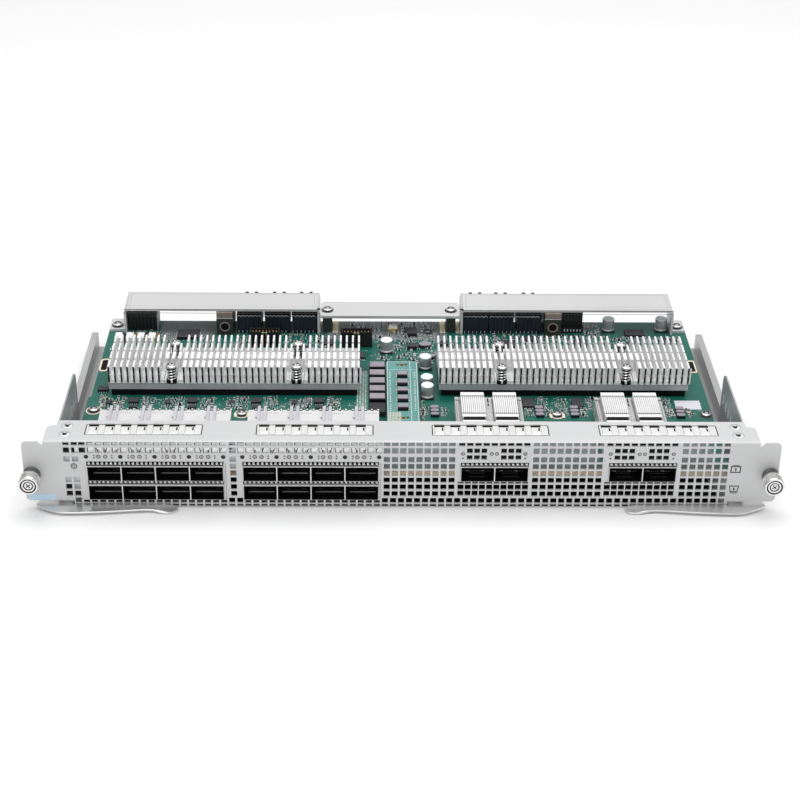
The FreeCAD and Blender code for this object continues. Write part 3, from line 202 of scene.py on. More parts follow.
# Near white painted highlight: lit copy of the fin and cage metal, and the bright rims, crosses and bands
# on screws, knobs and capacitors.
HIGHLIGHT_WHITE = make_material("painted_highlight_white", (0.92, 0.92, 0.92), 0.4, 0.2, (60, 90, 20), 0.04, 0.05)
RIDER = make_material("rider_aluminium", (0.66, 0.66, 0.66), 0.4, 0.3, (20, 200, 20), 0.04, 0.04)
BOARD_GREY = make_material("board_plane_grey", (0.17, 0.20, 0.20), 0.5, 0.0, 90, 0.2, 0.03, spec=0.3)
CHIP_TOP = make_material("chip_face", (0.045, 0.042, 0.048), 0.5, 0.0, 200, 0.15, 0.05, spec=0.4)
CONTACT = make_material("contact_shade", (0.06, 0.06, 0.062), 0.5, 0.0, 300, 0.2, 0.03)
POST = make_material("post_green_black", (0.022, 0.030, 0.024), 0.45, 0.0, 90, 0.2, 0.04)
KNOB_RING = make_material("knob_ring", (0.16, 0.16, 0.165), 0.35, 0.8, 200, 0.1, 0.03)
# Near-black film under the board: painted shade seen through the low vents.
FILM_SHADE = make_material("shade_film", (0.006, 0.006, 0.0065), 0.5, 0.0, 60, 0.2, 0.02, spec=0.2)
LABEL = make_material("label_lilac", (0.68, 0.67, 0.74), 0.5, 0.0, 60, 0.03, 0.02)
# Grey backs behind some vents, painted half shade; also the grey arcs on the backplane blocks.
GREY_AND_HALF_SHADE = make_material("grey_and_painted_half_shade", (0.46, 0.48, 0.50), 0.5, 0.0, (60, 20, 60), 0.35, 0.03)
# Near white: painted light behind the upper vents and a painted highlight on the flange screw heads; also
# the pale top of a rear part.
PALE_AND_LIT = make_material("pale_and_painted_light", (0.92, 0.92, 0.92), 0.45, 0.0, 60, 0.06, 0.02)
BLOCK = make_material("block_blue_black", (0.010, 0.014, 0.024), 0.45, 0.0, 150, 0.2, 0.04, spec=0.3)
GUIDE = make_material("guide_green_black", (0.030, 0.036, 0.030), 0.45, 0.0, 150, 0.2, 0.04, spec=0.35)
GUIDE_TOP = make_material("guide_brown", (0.24, 0.19, 0.17), 0.45, 0.0, 150, 0.12, 0.04)


# ------------------------------------------------------------------ mesh maker
def signed_area(loop):
    """Twice the area of a closed outline, above zero where it runs counter-clockwise."""
    return sum(p[0] * q[1] - q[0] * p[1] for p, q in zip(loop, loop[1:] + loop[:1]))


class Piece:
    """Collects faces, then becomes one object that rides on a body."""

    def __init__(self, name, *materials):
        self.name = name
        self.materials = list(materials)
        self.points = []
        self.faces = []
        self.slots = []
        self.smooth = []

    def slot_of(self, material):
        """Slot of a material, added when it is new."""
        if material not in self.materials:
            self.materials.append(material)
        return self.materials.index(material)

    def add(self, points, faces, material=None, smooth=False):
        """Take in points and the faces between them."""
        base = len(self.points)
        self.points += points
        k = 0 if material is None else self.slot_of(material)
        for f in faces:
            self.faces.append([base + i for i in f])
            self.slots.append(k)
            self.smooth.append(smooth)

    def box(self, x0, x1, y0, y1, z0, z1, material=None, chamfer=0.0):
        """Box whose top edges may be chamfered."""
        c = chamfer
        rings = [(0.0, z0), (0.0, z1 - c)]
        if c:
            rings.append((c, z1))
        points = []
        for inset, z in rings:
            points += [
                (x0 + inset, y0 + inset, z),
                (x1 - inset, y0 + inset, z),
                (x1 - inset, y1 - inset, z),
                (x0 + inset, y1 - inset, z),
            ]
        faces = [(3, 2, 1, 0)]
        for r in range(len(rings) - 1):
            for i in range(4):
                j = (i + 1) % 4
                faces.append((4 * r + i, 4 * r + j, 4 * r + 4 + j, 4 * r + 4 + i))
        top = 4 * (len(rings) - 1)
        faces.append((top, top + 1, top + 2, top + 3))
        self.add(points, faces, material)

    def block(self, x, y, half_x, half_y, z0, z1, material=None, chamfer=0.0):
        """Box given by its middle and its half sizes."""
        self.box(x - half_x, x + half_x, y - half_y, y + half_y, z0, z1, material, chamfer)

    def prism(self, outline, axis, a, b, material=None, smooth=False, holes=()):
        """Closed outline (two free coordinates in X, Y, Z order) carried along an axis."""
        loops = [list(outline)] + [list(h) for h in holes]
        flat = [p for loop in loops for p in loop]
        n = len(flat)

        def lift(u, v, w):
            if axis == "x":
                return (w, u, v)
            if axis == "y":
                return (u, w, v)
            return (u, v, w)

        points = [lift(u, v, a) for u, v in flat] + [lift(u, v, b) for u, v in flat]
        tris = tessellate_polygon([[Vector((u, v, 0)) for u, v in loop] for loop in loops])
        caps = []
        for t in tris:
            p, q, r = [flat[i] for i in t]
            turn = (q[0] - p[0]) * (r[1] - p[1]) - (q[1] - p[1]) * (r[0] - p[0])
            t = tuple(t) if (turn > 0) == (axis != "y") else tuple(reversed(t))
            caps.append(tuple(i + n for i in t))
            caps.append(tuple(reversed(t)))
        self.add(points, caps, material)
        sides = []
        start = 0
        for loop in loops:
            count = len(loop)
            inside = start > 0
            forward = (signed_area(loop) > 0) != inside
            if axis == "y":
                forward = not forward
            for i in range(count):
                p = start + i
                q = start + (i + 1) % count
                face = (p, q, q + n, p + n)
                sides.append(face if forward else tuple(reversed(face)))
            start += count
        self.add(points, sides, material, smooth)

    def lathe(self, profile, origin, axis, sides, material=None, smooth=True, cap=True):
        """Surface of (radius, height) points turned about an axis through origin."""
        ox, oy, oz = origin
        points = []
        for r, h in profile:
            for i in range(sides):
                a = 2 * math.pi * i / sides
                u = r * math.cos(a)
                v = r * math.sin(a)
                if axis == "z":
                    points.append((ox + u, oy + v, oz + h))
                elif axis == "y":
                    points.append((ox + v, oy + h, oz + u))
                else:
                    points.append((ox + h, oy + u, oz + v))
        faces = []
        for k in range(len(profile) - 1):
            for i in range(sides):
                j = (i + 1) % sides
                faces.append((k * sides + i, k * sides + j, (k + 1) * sides + j, (k + 1) * sides + i))
        self.add(points, faces, material, smooth)
        caps = []
        if profile[0][0] > 1e-6:
            caps.append(tuple(reversed(range(sides))))
        if profile[-1][0] > 1e-6:
            last = (len(profile) - 1) * sides
            caps.append(tuple(range(last, last + sides)))
        if caps and cap:
            self.add(points, caps, material)

    def shells(self, origin, axis, sides, *parts):
        """Open turned surfaces about one axis, each a (profile, material) pair."""
        for profile, material in parts:
            self.lathe(profile, origin, axis, sides, material, cap=False)

    def coil(self, x, y, z0, z1, r, wire, turns, material=None, steps=14, sides=6):
        """Helical wire about an upright axis."""
        points = []
        count = int(turns * steps)
        for k in range(count + 1):
            a = 2 * math.pi * k / steps
            h = z0 + wire + (z1 - z0 - 2 * wire) * k / count
            for i in range(sides):
                b = 2 * math.pi * i / sides
                rr = r + wire * math.cos(b)
                hh = h + wire * math.sin(b)
                points.append((x + rr * math.cos(a), y + rr * math.sin(a), hh))
        faces = []
        for k in range(count):
            for i in range(sides):
                j = (i + 1) % sides
                faces.append((k * sides + i, (k + 1) * sides + i, (k + 1) * sides + j, k * sides + j))
        faces.append(tuple(range(sides)))
        faces.append(tuple(reversed(range(count * sides, (count + 1) * sides))))
        self.add(points, faces, material, True)

    def make(self, body="chassis", replaces=(), sharp=35):
        """One mesh object of all that was added, riding on its body."""
        mesh = bpy.data.meshes.new(self.name)
        placed = [(x * MM, (y + FRONT) * MM, z * MM) for x, y, z in self.points]
        mesh.from_pydata(placed, [], self.faces)
        for m in self.materials:
            mesh.materials.append(m)
        mesh.polygons.foreach_set("material_index", self.slots)
        mesh.polygons.foreach_set("use_smooth", self.smooth)
        mesh.validate()
        if any(self.smooth):
            mesh.set_sharp_from_angle(angle=math.radians(sharp))
        mesh.update()
        obj = bpy.data.objects.new(self.name, mesh)
        bpy.context.scene.collection.objects.link(obj)
        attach(obj, body)
        if replaces:
            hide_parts(*replaces)
        return obj


def circle(u, v, r, sides):
    """Counter-clockwise points of a circle."""
    return [
        (u + r * math.cos(2 * math.pi * i / sides), v + r * math.sin(2 * math.pi * i / sides))
        for i in range(sides)
    ]


def rect(x0, x1, y0, y1):
    """Counter-clockwise corners of a rectangle along the two axes."""
    return [(x0, y0), (x1, y0), (x1, y1), (x0, y1)]


def rounded(x0, x1, y0, y1, r, steps=5):
    """Counter-clockwise rounded rectangle."""
    out = []
    for cx, cy, a0 in ((x1 - r, y0 + r, -90), (x1 - r, y1 - r, 0), (x0 + r, y1 - r, 90),
                       (x0 + r, y0 + r, 180)):
        for i in range(steps + 1):
            a = math.radians(a0 + 90 * i / steps)
            out.append((cx + r * math.cos(a), cy + r * math.sin(a)))
    return out


def turned(u, v, angle, half_long, half_wide):
    """Rectangle about (u, v), its long side at an angle."""
    c = math.cos(angle)
    s = math.sin(angle)
    corners = ((1, 1), (-1, 1), (-1, -1), (1, -1))
    return [(u + p * half_long * c - q * half_wide * s, v + p * half_long * s + q * half_wide * c) for p,
            q in corners]


# ------------------------------------------------------------------ face plate
T = 1.2
FOLD = 1.2
LIP = 12.0
FLANGE = node_mm("front_panel")[1][1]
HALF = 208.5
STEP_X = 203.0
STEP_Y = 18.5
EAR_Z = (4.5, 44.8)
BANKS = (-184.1, -93.4)
LIGHT_HOLES = ((-181.2, 4.788, 17), (-94.17, 4.726, 18))  # first, step and count over each bank
WIDES = (34.1, 121.0)
PITCH = 19.9
PORT_W = 18.7
PORT_H = 9.0
PORT_ROWS = (6.0, 19.0)               # undersides of the two rows of ports
VENT_PITCH = 4.744
VENT_LOW = 4.77                       # middle of the lowest whole row of vents
VENT = 3.6
KNOB_X = 216.4
KNOB_Z = 22.9
PIVOT = (204.0, 8.0)
SINK_SCREWS = {"left": (-144.5, -65.5), "right": (64.5, 143.5)}
SINK_SCREW_ROWS = (103.6, 134.6)
BLOCK_FACE = 185.62                   # front of the backplane blocks
POWER_FACE = 189.12                   # front of the power connector
FINGER = 5.8                          # width of a spring finger in the top fold
CORNER_SCREWS = ((-191.6, 81.0), (-99.0, 77.0), (98.0, 77.0), (191.6, 77.0))
FOLD_WINDOWS = ((-185.2, -117.4), (-85.5, -17.3), (17.5, 85.7), (115.7, 184.9))
FOLD_SCREWS = ((-196.5, 18.0), (-196.8, 8.6), (196.5, 18.0), (196.8, 8.6))
FOLD_SCREW_R = 3.55
ARC = FOLD * math.pi / 2
S_FRONT = LIP - FOLD + ARC            # developed length where the face begins
S_TOP = S_FRONT + PANEL_TOP - 2 * FOLD
S_FLANGE = S_TOP + ARC
S_END = S_FLANGE + FLANGE - FOLD


def unfold(z):
    """Developed position of height z on the face, folds included."""
    if z < FOLD:
        a = math.acos(max(-1, min(1, (FOLD - z) / FOLD)))
        return S_FRONT - (math.pi / 2 - a) * FOLD
    if z > PANEL_TOP - FOLD:
        a = math.asin(min(1, (z - PANEL_TOP + FOLD) / FOLD))
        return S_TOP + a * FOLD
    return S_FRONT + z - FOLD


def fold_up(x, s, depth):
    """Place of a developed point, at a depth under the outer surface."""
    if s <= LIP - FOLD:
        return (x, LIP - s, min(depth, 1.0))
    if s <= S_FRONT:
        a = (s - (LIP - FOLD)) / FOLD
        r = FOLD - min(depth, FOLD * 0.98)
        return (x, FOLD - r * math.sin(a), FOLD - r * math.cos(a))
    if s <= S_TOP:
        return (x, depth, FOLD + s - S_FRONT)
    if s <= S_FLANGE:
        a = (s - S_TOP) / FOLD
        r = FOLD - min(depth, FOLD * 0.98)
        return (x, FOLD - r * math.cos(a), PANEL_TOP - FOLD + r * math.sin(a))
    return (x, FOLD + s - S_FLANGE, PANEL_TOP - depth)


def face_holes():
    """Every opening of the face as (x0, x1, s0, s1)."""
    holes = []
    size = VENT

    def hole(x, z, w=size, h=size):
        holes.append((x - w / 2, x + w / 2, unfold(z - h / 2), unfold(z + h / 2)))

    def line(x0, x1, count, z, w=size, h=size):
        for i in range(count):
            hole(x0 + (x1 - x0) * i / (count - 1), z, w, h)

    pitch = VENT_PITCH
    low = VENT_LOW
    for i in range(81):
        x = -190.4 + pitch * i
        under_bank = any(left - 2.0 < x < left + 4 * PITCH + 2.0 for left in BANKS)
        if under_bank:
            holes.append((x - 1.8, x + 1.8, unfold(2.97), unfold(5.0)))
        else:
            hole(x, low)
        holes.append((x - 1.8, x + 1.8, unfold(0.3), unfold(2.35)))
    for row in range(1, 7):
        z = low + pitch * row
        line(-9.2, 28.9, 9, z)
        line(78.0, 115.3, 9, z)
        line(165.1, 189.2, 6, z)
        hole(-98.9, z)
        if row in (1, 2, 3, 6):
            line(-195.3, -190.4, 2, z)
    for z, h in ((39.2, 3.7), (43.6, 2.3)):
        line(-195.2, -190.4, 2, z, size, h)
        line(-186.0, -104.6, 18, z, 3.8, h)
        line(-98.9, 28.7, 28, z, 3.8, h)
        line(78.0, 115.3, 9, z, size, h)
        line(165.1, 189.2, 6, z, size, h)
    for x in (39.1, 43.3, 47.5, 59.0, 63.2, 67.5, 125.4, 129.6, 133.8, 145.4, 149.8, 153.9):
        hole(x, 39.3, 3.3, 3.2)
        hole(x, 34.8, 3.3, 3.0)
    line(34.5, 72.4, 9, 43.6, size, 2.3)
    line(120.8, 158.6, 9, 43.6, size, 2.3)
    for x0 in (34.3, 120.6):
        for i in range(10):
            x = x0 + 4.22 * i
            hole(x, 10.0)
            hole(x, 14.2)
            hole(x, 17.3, size, 1.4)
    return holes


def finger_places(x0, x1):
    """Left edges of the seven spring fingers in one of the fold's windows."""
    return [x0 + 1.3 + (x1 - x0 - 2.0) / 7 * i for i in range(7)]


def face_windows():
    """Port windows, slots beside them and the openings of the top fold."""
    cuts = []
    for left in BANKS:
        x0 = left - 0.15
        x1 = left + 4 * PITCH + 0.15
        cuts.append((x0, x1, unfold(5.35), unfold(15.65)))
        cuts.append((x0, x1, unfold(16.5), unfold(28.65)))
        cuts.append((x0, x1, unfold(29.2), unfold(31.6)))
        for k in range(16):
            z = 5.6 + 1.6 * k
            cuts.append((x1 + 0.75, x1 + 1.25, unfold(z), unfold(z + 0.8)))
    for left in WIDES:
        x0 = left - 0.15
        x1 = left + 2 * PITCH + 0.15
        cuts.append((x0, x1, unfold(18.35), unfold(28.65)))
        cuts.append((x0, x1, unfold(29.2), unfold(31.2)))
    for x0, x1 in FOLD_WINDOWS:
        cuts.append((x0, x1, S_FLANGE + 8.0 - FOLD, S_FLANGE + 19.4 - FOLD))
        for a in finger_places(x0, x1):
            cuts.append((a, a + FINGER, S_FLANGE + 19.3 - FOLD, S_FLANGE + 20.2 - FOLD))
            cuts.append((a + 0.6, a + 5.2, S_FLANGE + 7.5 - FOLD, S_FLANGE + 8.1 - FOLD))
    for x, y in FOLD_SCREWS:
        cuts.append((x - FOLD_SCREW_R, x + FOLD_SCREW_R, S_FLANGE + y - FOLD_SCREW_R - FOLD,
                    S_FLANGE + y + FOLD_SCREW_R - FOLD))
    return cuts


def inside_outline(x, s):
    """Whether a developed point lies in the flat sheet, ears left out."""
    a = abs(x)
    if s < S_FRONT:
        return a < 190.0
    if s < S_FLANGE:
        z = FOLD + s - S_FRONT
        return a < HALF and not (a > 193.0 and z < EAR_Z[0])
    y = FOLD + s - S_FLANGE
    return a < HALF and (y < STEP_Y or a < STEP_X)


def face_plate():
    """The folded sheet with its openings, then its ears and screw rings."""
    cuts = face_holes() + face_windows()
    xs = {-HALF, HALF, -STEP_X, STEP_X, -193.0, 193.0, -190.0, 190.0}
    ss = {0.0, S_FRONT, S_TOP, S_FLANGE, S_END, unfold(EAR_Z[0]), S_FLANGE + STEP_Y - FOLD}
    for k in range(1, 5):
        ss.add(LIP - FOLD + ARC * k / 5)
        ss.add(S_TOP + ARC * k / 5)
    round_r = 4.0
    for k in range(1, 5):
        for side in (-1, 1):
            xs.add(side * (HALF - round_r * k / 4))
        ss.add(S_FLANGE + STEP_Y - FOLD - round_r * k / 4)
    for x0, x1, s0, s1 in cuts:
        xs.update((x0, x1))
        ss.update((s0, s1))

    def thin(values):
        out = []
        for v in sorted(values):
            if not out or v - out[-1] > 0.02:
                out.append(v)
        return out

    xs = thin(xs)
    ss = thin(ss)
    nx = len(xs) - 1
    ns = len(ss) - 1
    solid = [[False] * ns for _ in range(nx)]
    for i in range(nx):
        cx = (xs[i] + xs[i + 1]) / 2
        column = [c for c in cuts if c[0] < cx < c[1]]
        for j in range(ns):
            cs = (ss[j] + ss[j + 1]) / 2
            solid[i][j] = inside_outline(cx, cs) and not any(c[2] < cs < c[3] for c in column)
    corner_s = S_FLANGE + STEP_Y - FOLD

    def place(i, j, depth):
        x = xs[i]
        s = ss[j]
        side = 1 if x > 0 else -1
        u = (abs(x) - (HALF - round_r)) / round_r
        v = (s - (corner_s - round_r)) / round_r
        if 0 < u <= 1.001 and 0 < v <= 1.001:
            m = max(u, v)
            n = math.hypot(u, v)
            x = side * (HALF - round_r + round_r * u * m / n)
            s = corner_s - round_r + round_r * v * m / n
        return fold_up(x, s, depth)

    index = {}
    points = []

    def vertex(i, j, layer):
        key = (i, j, layer)
        if key not in index:
            index[key] = len(points)
            points.append(place(i, j, T if layer else 0.0))
        return index[key]

    faces = []

    def quad(*corners):
        faces.append(tuple(vertex(*corner) for corner in corners))

    for i in range(nx):
        for j in range(ns):
            if not solid[i][j]:
                continue
            quad((i, j, 0), (i + 1, j, 0), (i + 1, j + 1, 0), (i, j + 1, 0))
            quad((i, j, 1), (i, j + 1, 1), (i + 1, j + 1, 1), (i + 1, j, 1))
            if i == 0 or not solid[i - 1][j]:
                quad((i, j, 0), (i, j + 1, 0), (i, j + 1, 1), (i, j, 1))
            if i == nx - 1 or not solid[i + 1][j]:
                quad((i + 1, j, 0), (i + 1, j, 1), (i + 1, j + 1, 1), (i + 1, j + 1, 0))
            if j == 0 or not solid[i][j - 1]:
                quad((i, j, 0), (i, j, 1), (i + 1, j, 1), (i + 1, j, 0))
            if j == ns - 1 or not solid[i][j + 1]:
                quad((i, j + 1, 0), (i + 1, j + 1, 0), (i + 1, j + 1, 1), (i, j + 1, 1))
    plate = Piece("face_plate", PLATE)
    plate.add(points, faces, PLATE, True)
    for side in (-1, 1):
        r = 3.0
        x1 = EAR_X
        outline = [(HALF, EAR_Z[0])]
        for k in range(7):
            a = math.radians(-90 + 15 * k)
            outline.append((x1 - r + r * math.cos(a), EAR_Z[0] + r + r * math.sin(a)))
        for k in range(7):
            a = math.radians(15 * k)
            outline.append((x1 - r + r * math.cos(a), EAR_Z[1] - r + r * math.sin(a)))
        outline += [(212.0, EAR_Z[1]), (211.4, 44.4), (209.9, 42.4), (HALF, 42.2)]
        outline = [(side * x, z) for x, z in outline]
        hole = [(side * x, z) for x, z in circle(KNOB_X, KNOB_Z, 4.0, 24)]
        plate.prism(outline, "y", 0.0, T, PLATE, holes=[hole])
    r = FOLD_SCREW_R
    for x, y in FOLD_SCREWS:
        patch = rect(x - r, x + r, y - r, y + r)
        plate.prism(patch, "z", PANEL_TOP - T, PANEL_TOP, PLATE, holes=[circle(x, y, r, 28)])
    return plate.make(replaces=["front_panel"])


face_plate()


# ------------------------------------------------- finger strips on the flange
def flange_fingers():
    """Spring finger strips seen in the fold's four windows, with painted shade: a dark sheet under them,
    dark slots, ticks and dashes, and grey rims and stripes.
    """
    strip = Piece("flange_fingers", GASKET)
    shade = Piece("flange_shade", BLACK_AND_SHADE)
    top = PANEL_TOP
    for x0, x1 in FOLD_WINDOWS:
        strip.box(x0 - 1.4, x1 + 1.4, 6.6, 7.4, top - 1.6, top - 1.25)
        strip.box(x0 - 1.4, x1 + 1.4, 20.3, 21.0, top - 1.6, top - 1.25)
        for a, b in ((x0 + 0.3, x0 + 1.25), (x1 - 1.1, x1 - 0.3)):
            strip.box(a, b, 8.3, 19.2, top - 0.7, top - 0.06, GASKET, 0.1)
        # Dark sheet under the strips: painted shade.
        shade.box(x0 - 1.2, x1 + 1.2, 7.2, 20.6, top - 2.0, top - 1.75)
        for a in finger_places(x0, x1):
            b = a + FINGER
            c = a + (x1 - x0 - 2.0) / 7
            finger = [
                (8.7, top - 1.3), (8.8, top - 0.3), (9.8, top - 0.1), (13.2, top - 0.03),
                (17.2, top - 0.1), (17.2, top - 0.5), (13.2, top - 0.34), (9.3, top - 1.4),
            ]
            strip.prism(finger, "x", a, b, GASKET, smooth=True)
            web = [(8.4, top - 1.0), (8.6, top - 0.16), (14.0, top - 0.1), (19.2, top - 0.3),
                   (19.2, top - 1.0)]
            strip.prism(web, "x", b + 0.15, min(c, x1 - 0.2) - 0.05, GASKET)
            # Dark slot, tick and dash by each finger: painted shade.
            shade.box(a, b, 17.2, 20.1, top - 0.9, top - 0.1)
            shade.box(b - 1.5, b - 0.6, 13.0, 16.4, top - 0.3, top - 0.01)
            shade.box(a + 0.6, b - 0.6, 7.5, 8.3, top - 0.5, top - 0.06, EDGE_SHADE)
            # Grey stripe on each finger: painted shade.
            strip.box(a + 0.2, a + 0.5, 9.6, 17.0, top - 0.2, top - 0.03, MID_GREY)
        # Grey rim round each window: painted shade along the cut edge.
        ring = rounded(x0 - 0.3, x1 + 0.3, 7.7, 19.7, 0.7)
        inner = rounded(x0 + 0.02, x1 - 0.02, 8.02, 19.38, 0.4)
        shade.prism(ring, "z", top - 0.05, top, MID_GREY, holes=[inner])
    shade.make()
    return strip.make(replaces=["flange_gaskets"])


flange_fingers()


def vent_backs():
    """Painted shade and light behind the vents: dark, grey or pale sheets by the row of openings, for the
    shaded and lit insides seen through them.
    """
    painted_backs = Piece("vent_painted_backs", BLACK_AND_SHADE)

    def back(x0, x1, z0, z1, material=BLACK_AND_SHADE):
        painted_backs.box(x0, x1, T + 0.06, T + 0.2, z0, z1, material)

    # Dark backs behind the wide ports' vents: painted shade.
    for x0, x1 in ((36.9, 49.8), (56.8, 69.8), (123.2, 136.1), (143.2, 156.2)):
        back(x0, x1, 32.6, 41.4)
    for x0, x1 in ((32.6, 74.4), (118.9, 160.6)):
        back(x0, x1, 42.1, 43.7)
    for left, (first, step, count) in zip(BANKS, LIGHT_HOLES):
        x1 = left + 4 * PITCH
        # Dark sheet with pale patches set off the holes: painted light for the lit cage tops, painted shade
        # along the holes' edges.
        back(left - 1.0, x1 - 0.6, 37.0, 43.5, CONTACT)
        for k in range(count):
            x = first + step * k
            for z0, z1 in ((37.2, 40.8), (42.3, 43.4)):
                painted_backs.box(x - 1.5, x + 1.8, T + 0.01, T + 0.08, z0, z1, PALE_AND_LIT)
        for i in range(4):
            for dx, lean in ((7.3, -1.6), (11.3, 1.6), (17.6, 2.2)):
                x = left + PITCH * i + dx
                stroke = [(x - 0.28, 37.4), (x + 0.28, 37.4), (x + 0.28 + lean, 41.2),
                          (x - 0.28 + lean, 41.2)]
                painted_backs.prism(stroke, "y", T - 0.02, T + 0.1, MARK_AND_SHADE)
                painted_backs.prism(circle(x, 38.2, 0.8, 14), "y", T - 0.03, T + 0.1, MARK_AND_SHADE,
                              holes=[circle(x, 38.2, 0.45, 14)])
        # Dark back behind the slots beside each bank: painted shade.
        back(x1 + 0.4, x1 + 1.6, 5.4, 31.4)
    # Dark, grey and pale backs at the ends of the banks: painted shade and painted light.
    back(-197.3, -193.2, 37.0, 43.5)
    back(-193.1, -190.6, 37.0, 41.4)
    back(-190.5, -188.4, 37.0, 41.4, PALE_AND_LIT)
    back(-193.1, -188.4, 41.5, 43.5)
    back(-188.3, -185.2, 37.0, 43.5)
    back(-94.5, -93.2, 37.0, 43.5, GREY_AND_HALF_SHADE)
    back(-197.3, -188.4, 31.0, 35.4, GREY_AND_HALF_SHADE)
    back(-197.3, -188.4, 16.9, 21.2, GREY_AND_HALF_SHADE)
    back(-197.3, -193.2, 7.2, 16.8)
    back(-193.1, -188.4, 12.2, 16.8, GREY_AND_HALF_SHADE)
    back(-193.1, -188.4, 7.2, 12.1)
    back(-101.0, -94.6, 26.4, 43.5, GREY_AND_HALF_SHADE)
    for k in range(3):
        back(-100.8, -99.8 + 0.5 * k, 36.6 + 2.6 * k, 37.8 + 2.6 * k, BLACK_AND_SHADE)
    # Dark strips along the lowest vents: painted shade.
    painted_backs.box(-192.4, 192.4, 0.62, 1.1, 0.62, 1.12)
    painted_backs.box(-192.4, 192.4, T + 0.01, T + 0.06, 0.9, 2.7)
    painted_backs.box(-188.0, 188.0, T + 0.15, 15.6, 2.1, 2.18)
    return painted_backs.make()


vent_backs()


def port_fingers():
    """Contact fingers between the port rows and the plate, with painted shade: a dark sheet behind them,
    dark lines above and below, and small dark wedges.
    """
    strip = Piece("port_fingers", GASKET, MARK_AND_SHADE)
    rows = [(left, 4, 29.25, 31.5) for left in BANKS] + [(left, 4, 16.55, 18.3) for left in BANKS]
    rows += [(left, 2, 29.25, 31.1) for left in WIDES]
    for left, ports, z0, z1 in rows:
        width = PITCH * ports
        # Dark sheet behind the fingers and dark lines below and above them: painted shade.
        strip.box(left, left + width, 1.5, 1.7, z0 - 0.6, z1 + 0.6, BLACK_AND_SHADE)
        strip.box(left, left + width, -0.03, 0.2, z0 - 0.6, z0 - 0.1, BLACK_AND_SHADE)
        strip.box(left, left + width, 0.1, 0.6, z1 - 0.2, z1 + 0.1, MARK_AND_SHADE)
        count = int(width / 2.49)
        pitch = width / count
        for i in range(count):
            a = left + pitch * i + 0.7
            b = left + pitch * (i + 1) - 0.7
            strip.prism([(0.1, z0 + 0.2), (0.1, z0 + 0.75), (1.45, z1), (1.5, z1 - 0.35)], "x", a, b,
                        GASKET)
            # Small dark wedge by each finger: painted shade.
            strip.prism([(a - 0.9, z0 + 0.1), (a + 0.2, z0 + 0.1), (a - 0.3, z0 + 1.3)], "y", 0.02, 0.12,
                        BLACK_AND_SHADE)
            strip.box(a + 0.2, a + 0.7, 0.02, 0.3, z0 + 1.1, z0 + 1.5, MID_GREY)
    return strip.make(replaces=["cage_gaskets"])


port_fingers()


# ------------------------------------------------------------ marks on the face
def face_marks():
    """Status lenses, engraved rings, arrows and bare outline signs."""
    marks = Piece("face_marks", MARK_AND_SHADE, MID_GREY)
    y0 = -0.06
    y1 = 0.05

    def ring(x, z, r, w=0.35):
        marks.prism(circle(x, z, r, 20), "y", y0, y1, MARK_AND_SHADE, holes=[circle(x, z, r - w, 20)])
        marks.prism(circle(x, z, r - w, 16), "y", y0 / 2, y1, MID_GREY)

    def dark(x, z, r):
        marks.prism(circle(x, z, r, 18), "y", y0, y1, MARK_AND_SHADE)

    def arrow(x, z, size, up):
        d = size if up else -size
        marks.prism([(x - size, z - d * 0.6), (x + size, z - d * 0.6), (x, z + d * 0.8)], "y", y0, y1, MARK_AND_SHADE)

    for left in BANKS:
        for i in range(4):
            x = left + PITCH * i
            dark(x + 0.1, 34.8, 1.35)
            ring(x + 7.3, 34.8, 1.3)
            ring(x + 11.3, 34.8, 1.3)
            for dx in (4.7, 15.1):
                arrow(x + dx, 35.6, 0.7, True)
                arrow(x + dx, 33.9, 0.7, False)
        dark(left + 4 * PITCH + 0.1, 34.8, 1.35)
    for a, b, c, d in ((35.1, 51.9, 54.9, 71.5), (121.3, 138.2, 141.3, 158.2)):
        for x in (a, b, c, d):
            ring(x, 37.3, 1.15)
        for x in (a, d):
            arrow(x, 34.2, 0.8, False)
    ring(-191.4, 28.4, 1.9, 0.4)
    for x, z, bar_up in ((195.6, 26.9, True), (195.8, 13.4, False)):
        w = 3.0
        h = 2.3
        top = [(x - w, z + h), (x + w, z + h)]
        body = [(x + w * 0.72, z - h), (x - w * 0.72, z - h)] if not bar_up else [(x + w, z - h),
                (x - w, z - h)]
        outline = top + body
        inner = [(x + (px - x) * 0.80, z + (pz - z) * 0.72) for px, pz in outline]
        marks.prism(outline, "y", y0, y1, MARK_AND_SHADE, holes=[inner])
        edge = z + h + 0.55 if bar_up else z - h - 0.55
        marks.prism(rect(x - w * 0.7, x + w * 0.7, edge - 0.2, edge + 0.2), "y", y0, y1, MARK_AND_SHADE)
        marks.prism(rect(x - 0.4, x + 0.4, z - 1.1, z + 0.9), "y", y0, y1, MARK_AND_SHADE)
    marks.make()
    sticker = Piece("ear_sticker", STICKER)
    sticker.prism(rounded(-219.3, -203.2, 5.1, 8.9, 0.6), "y", -0.12, 0.02, STICKER)
    sticker.make()


face_marks()


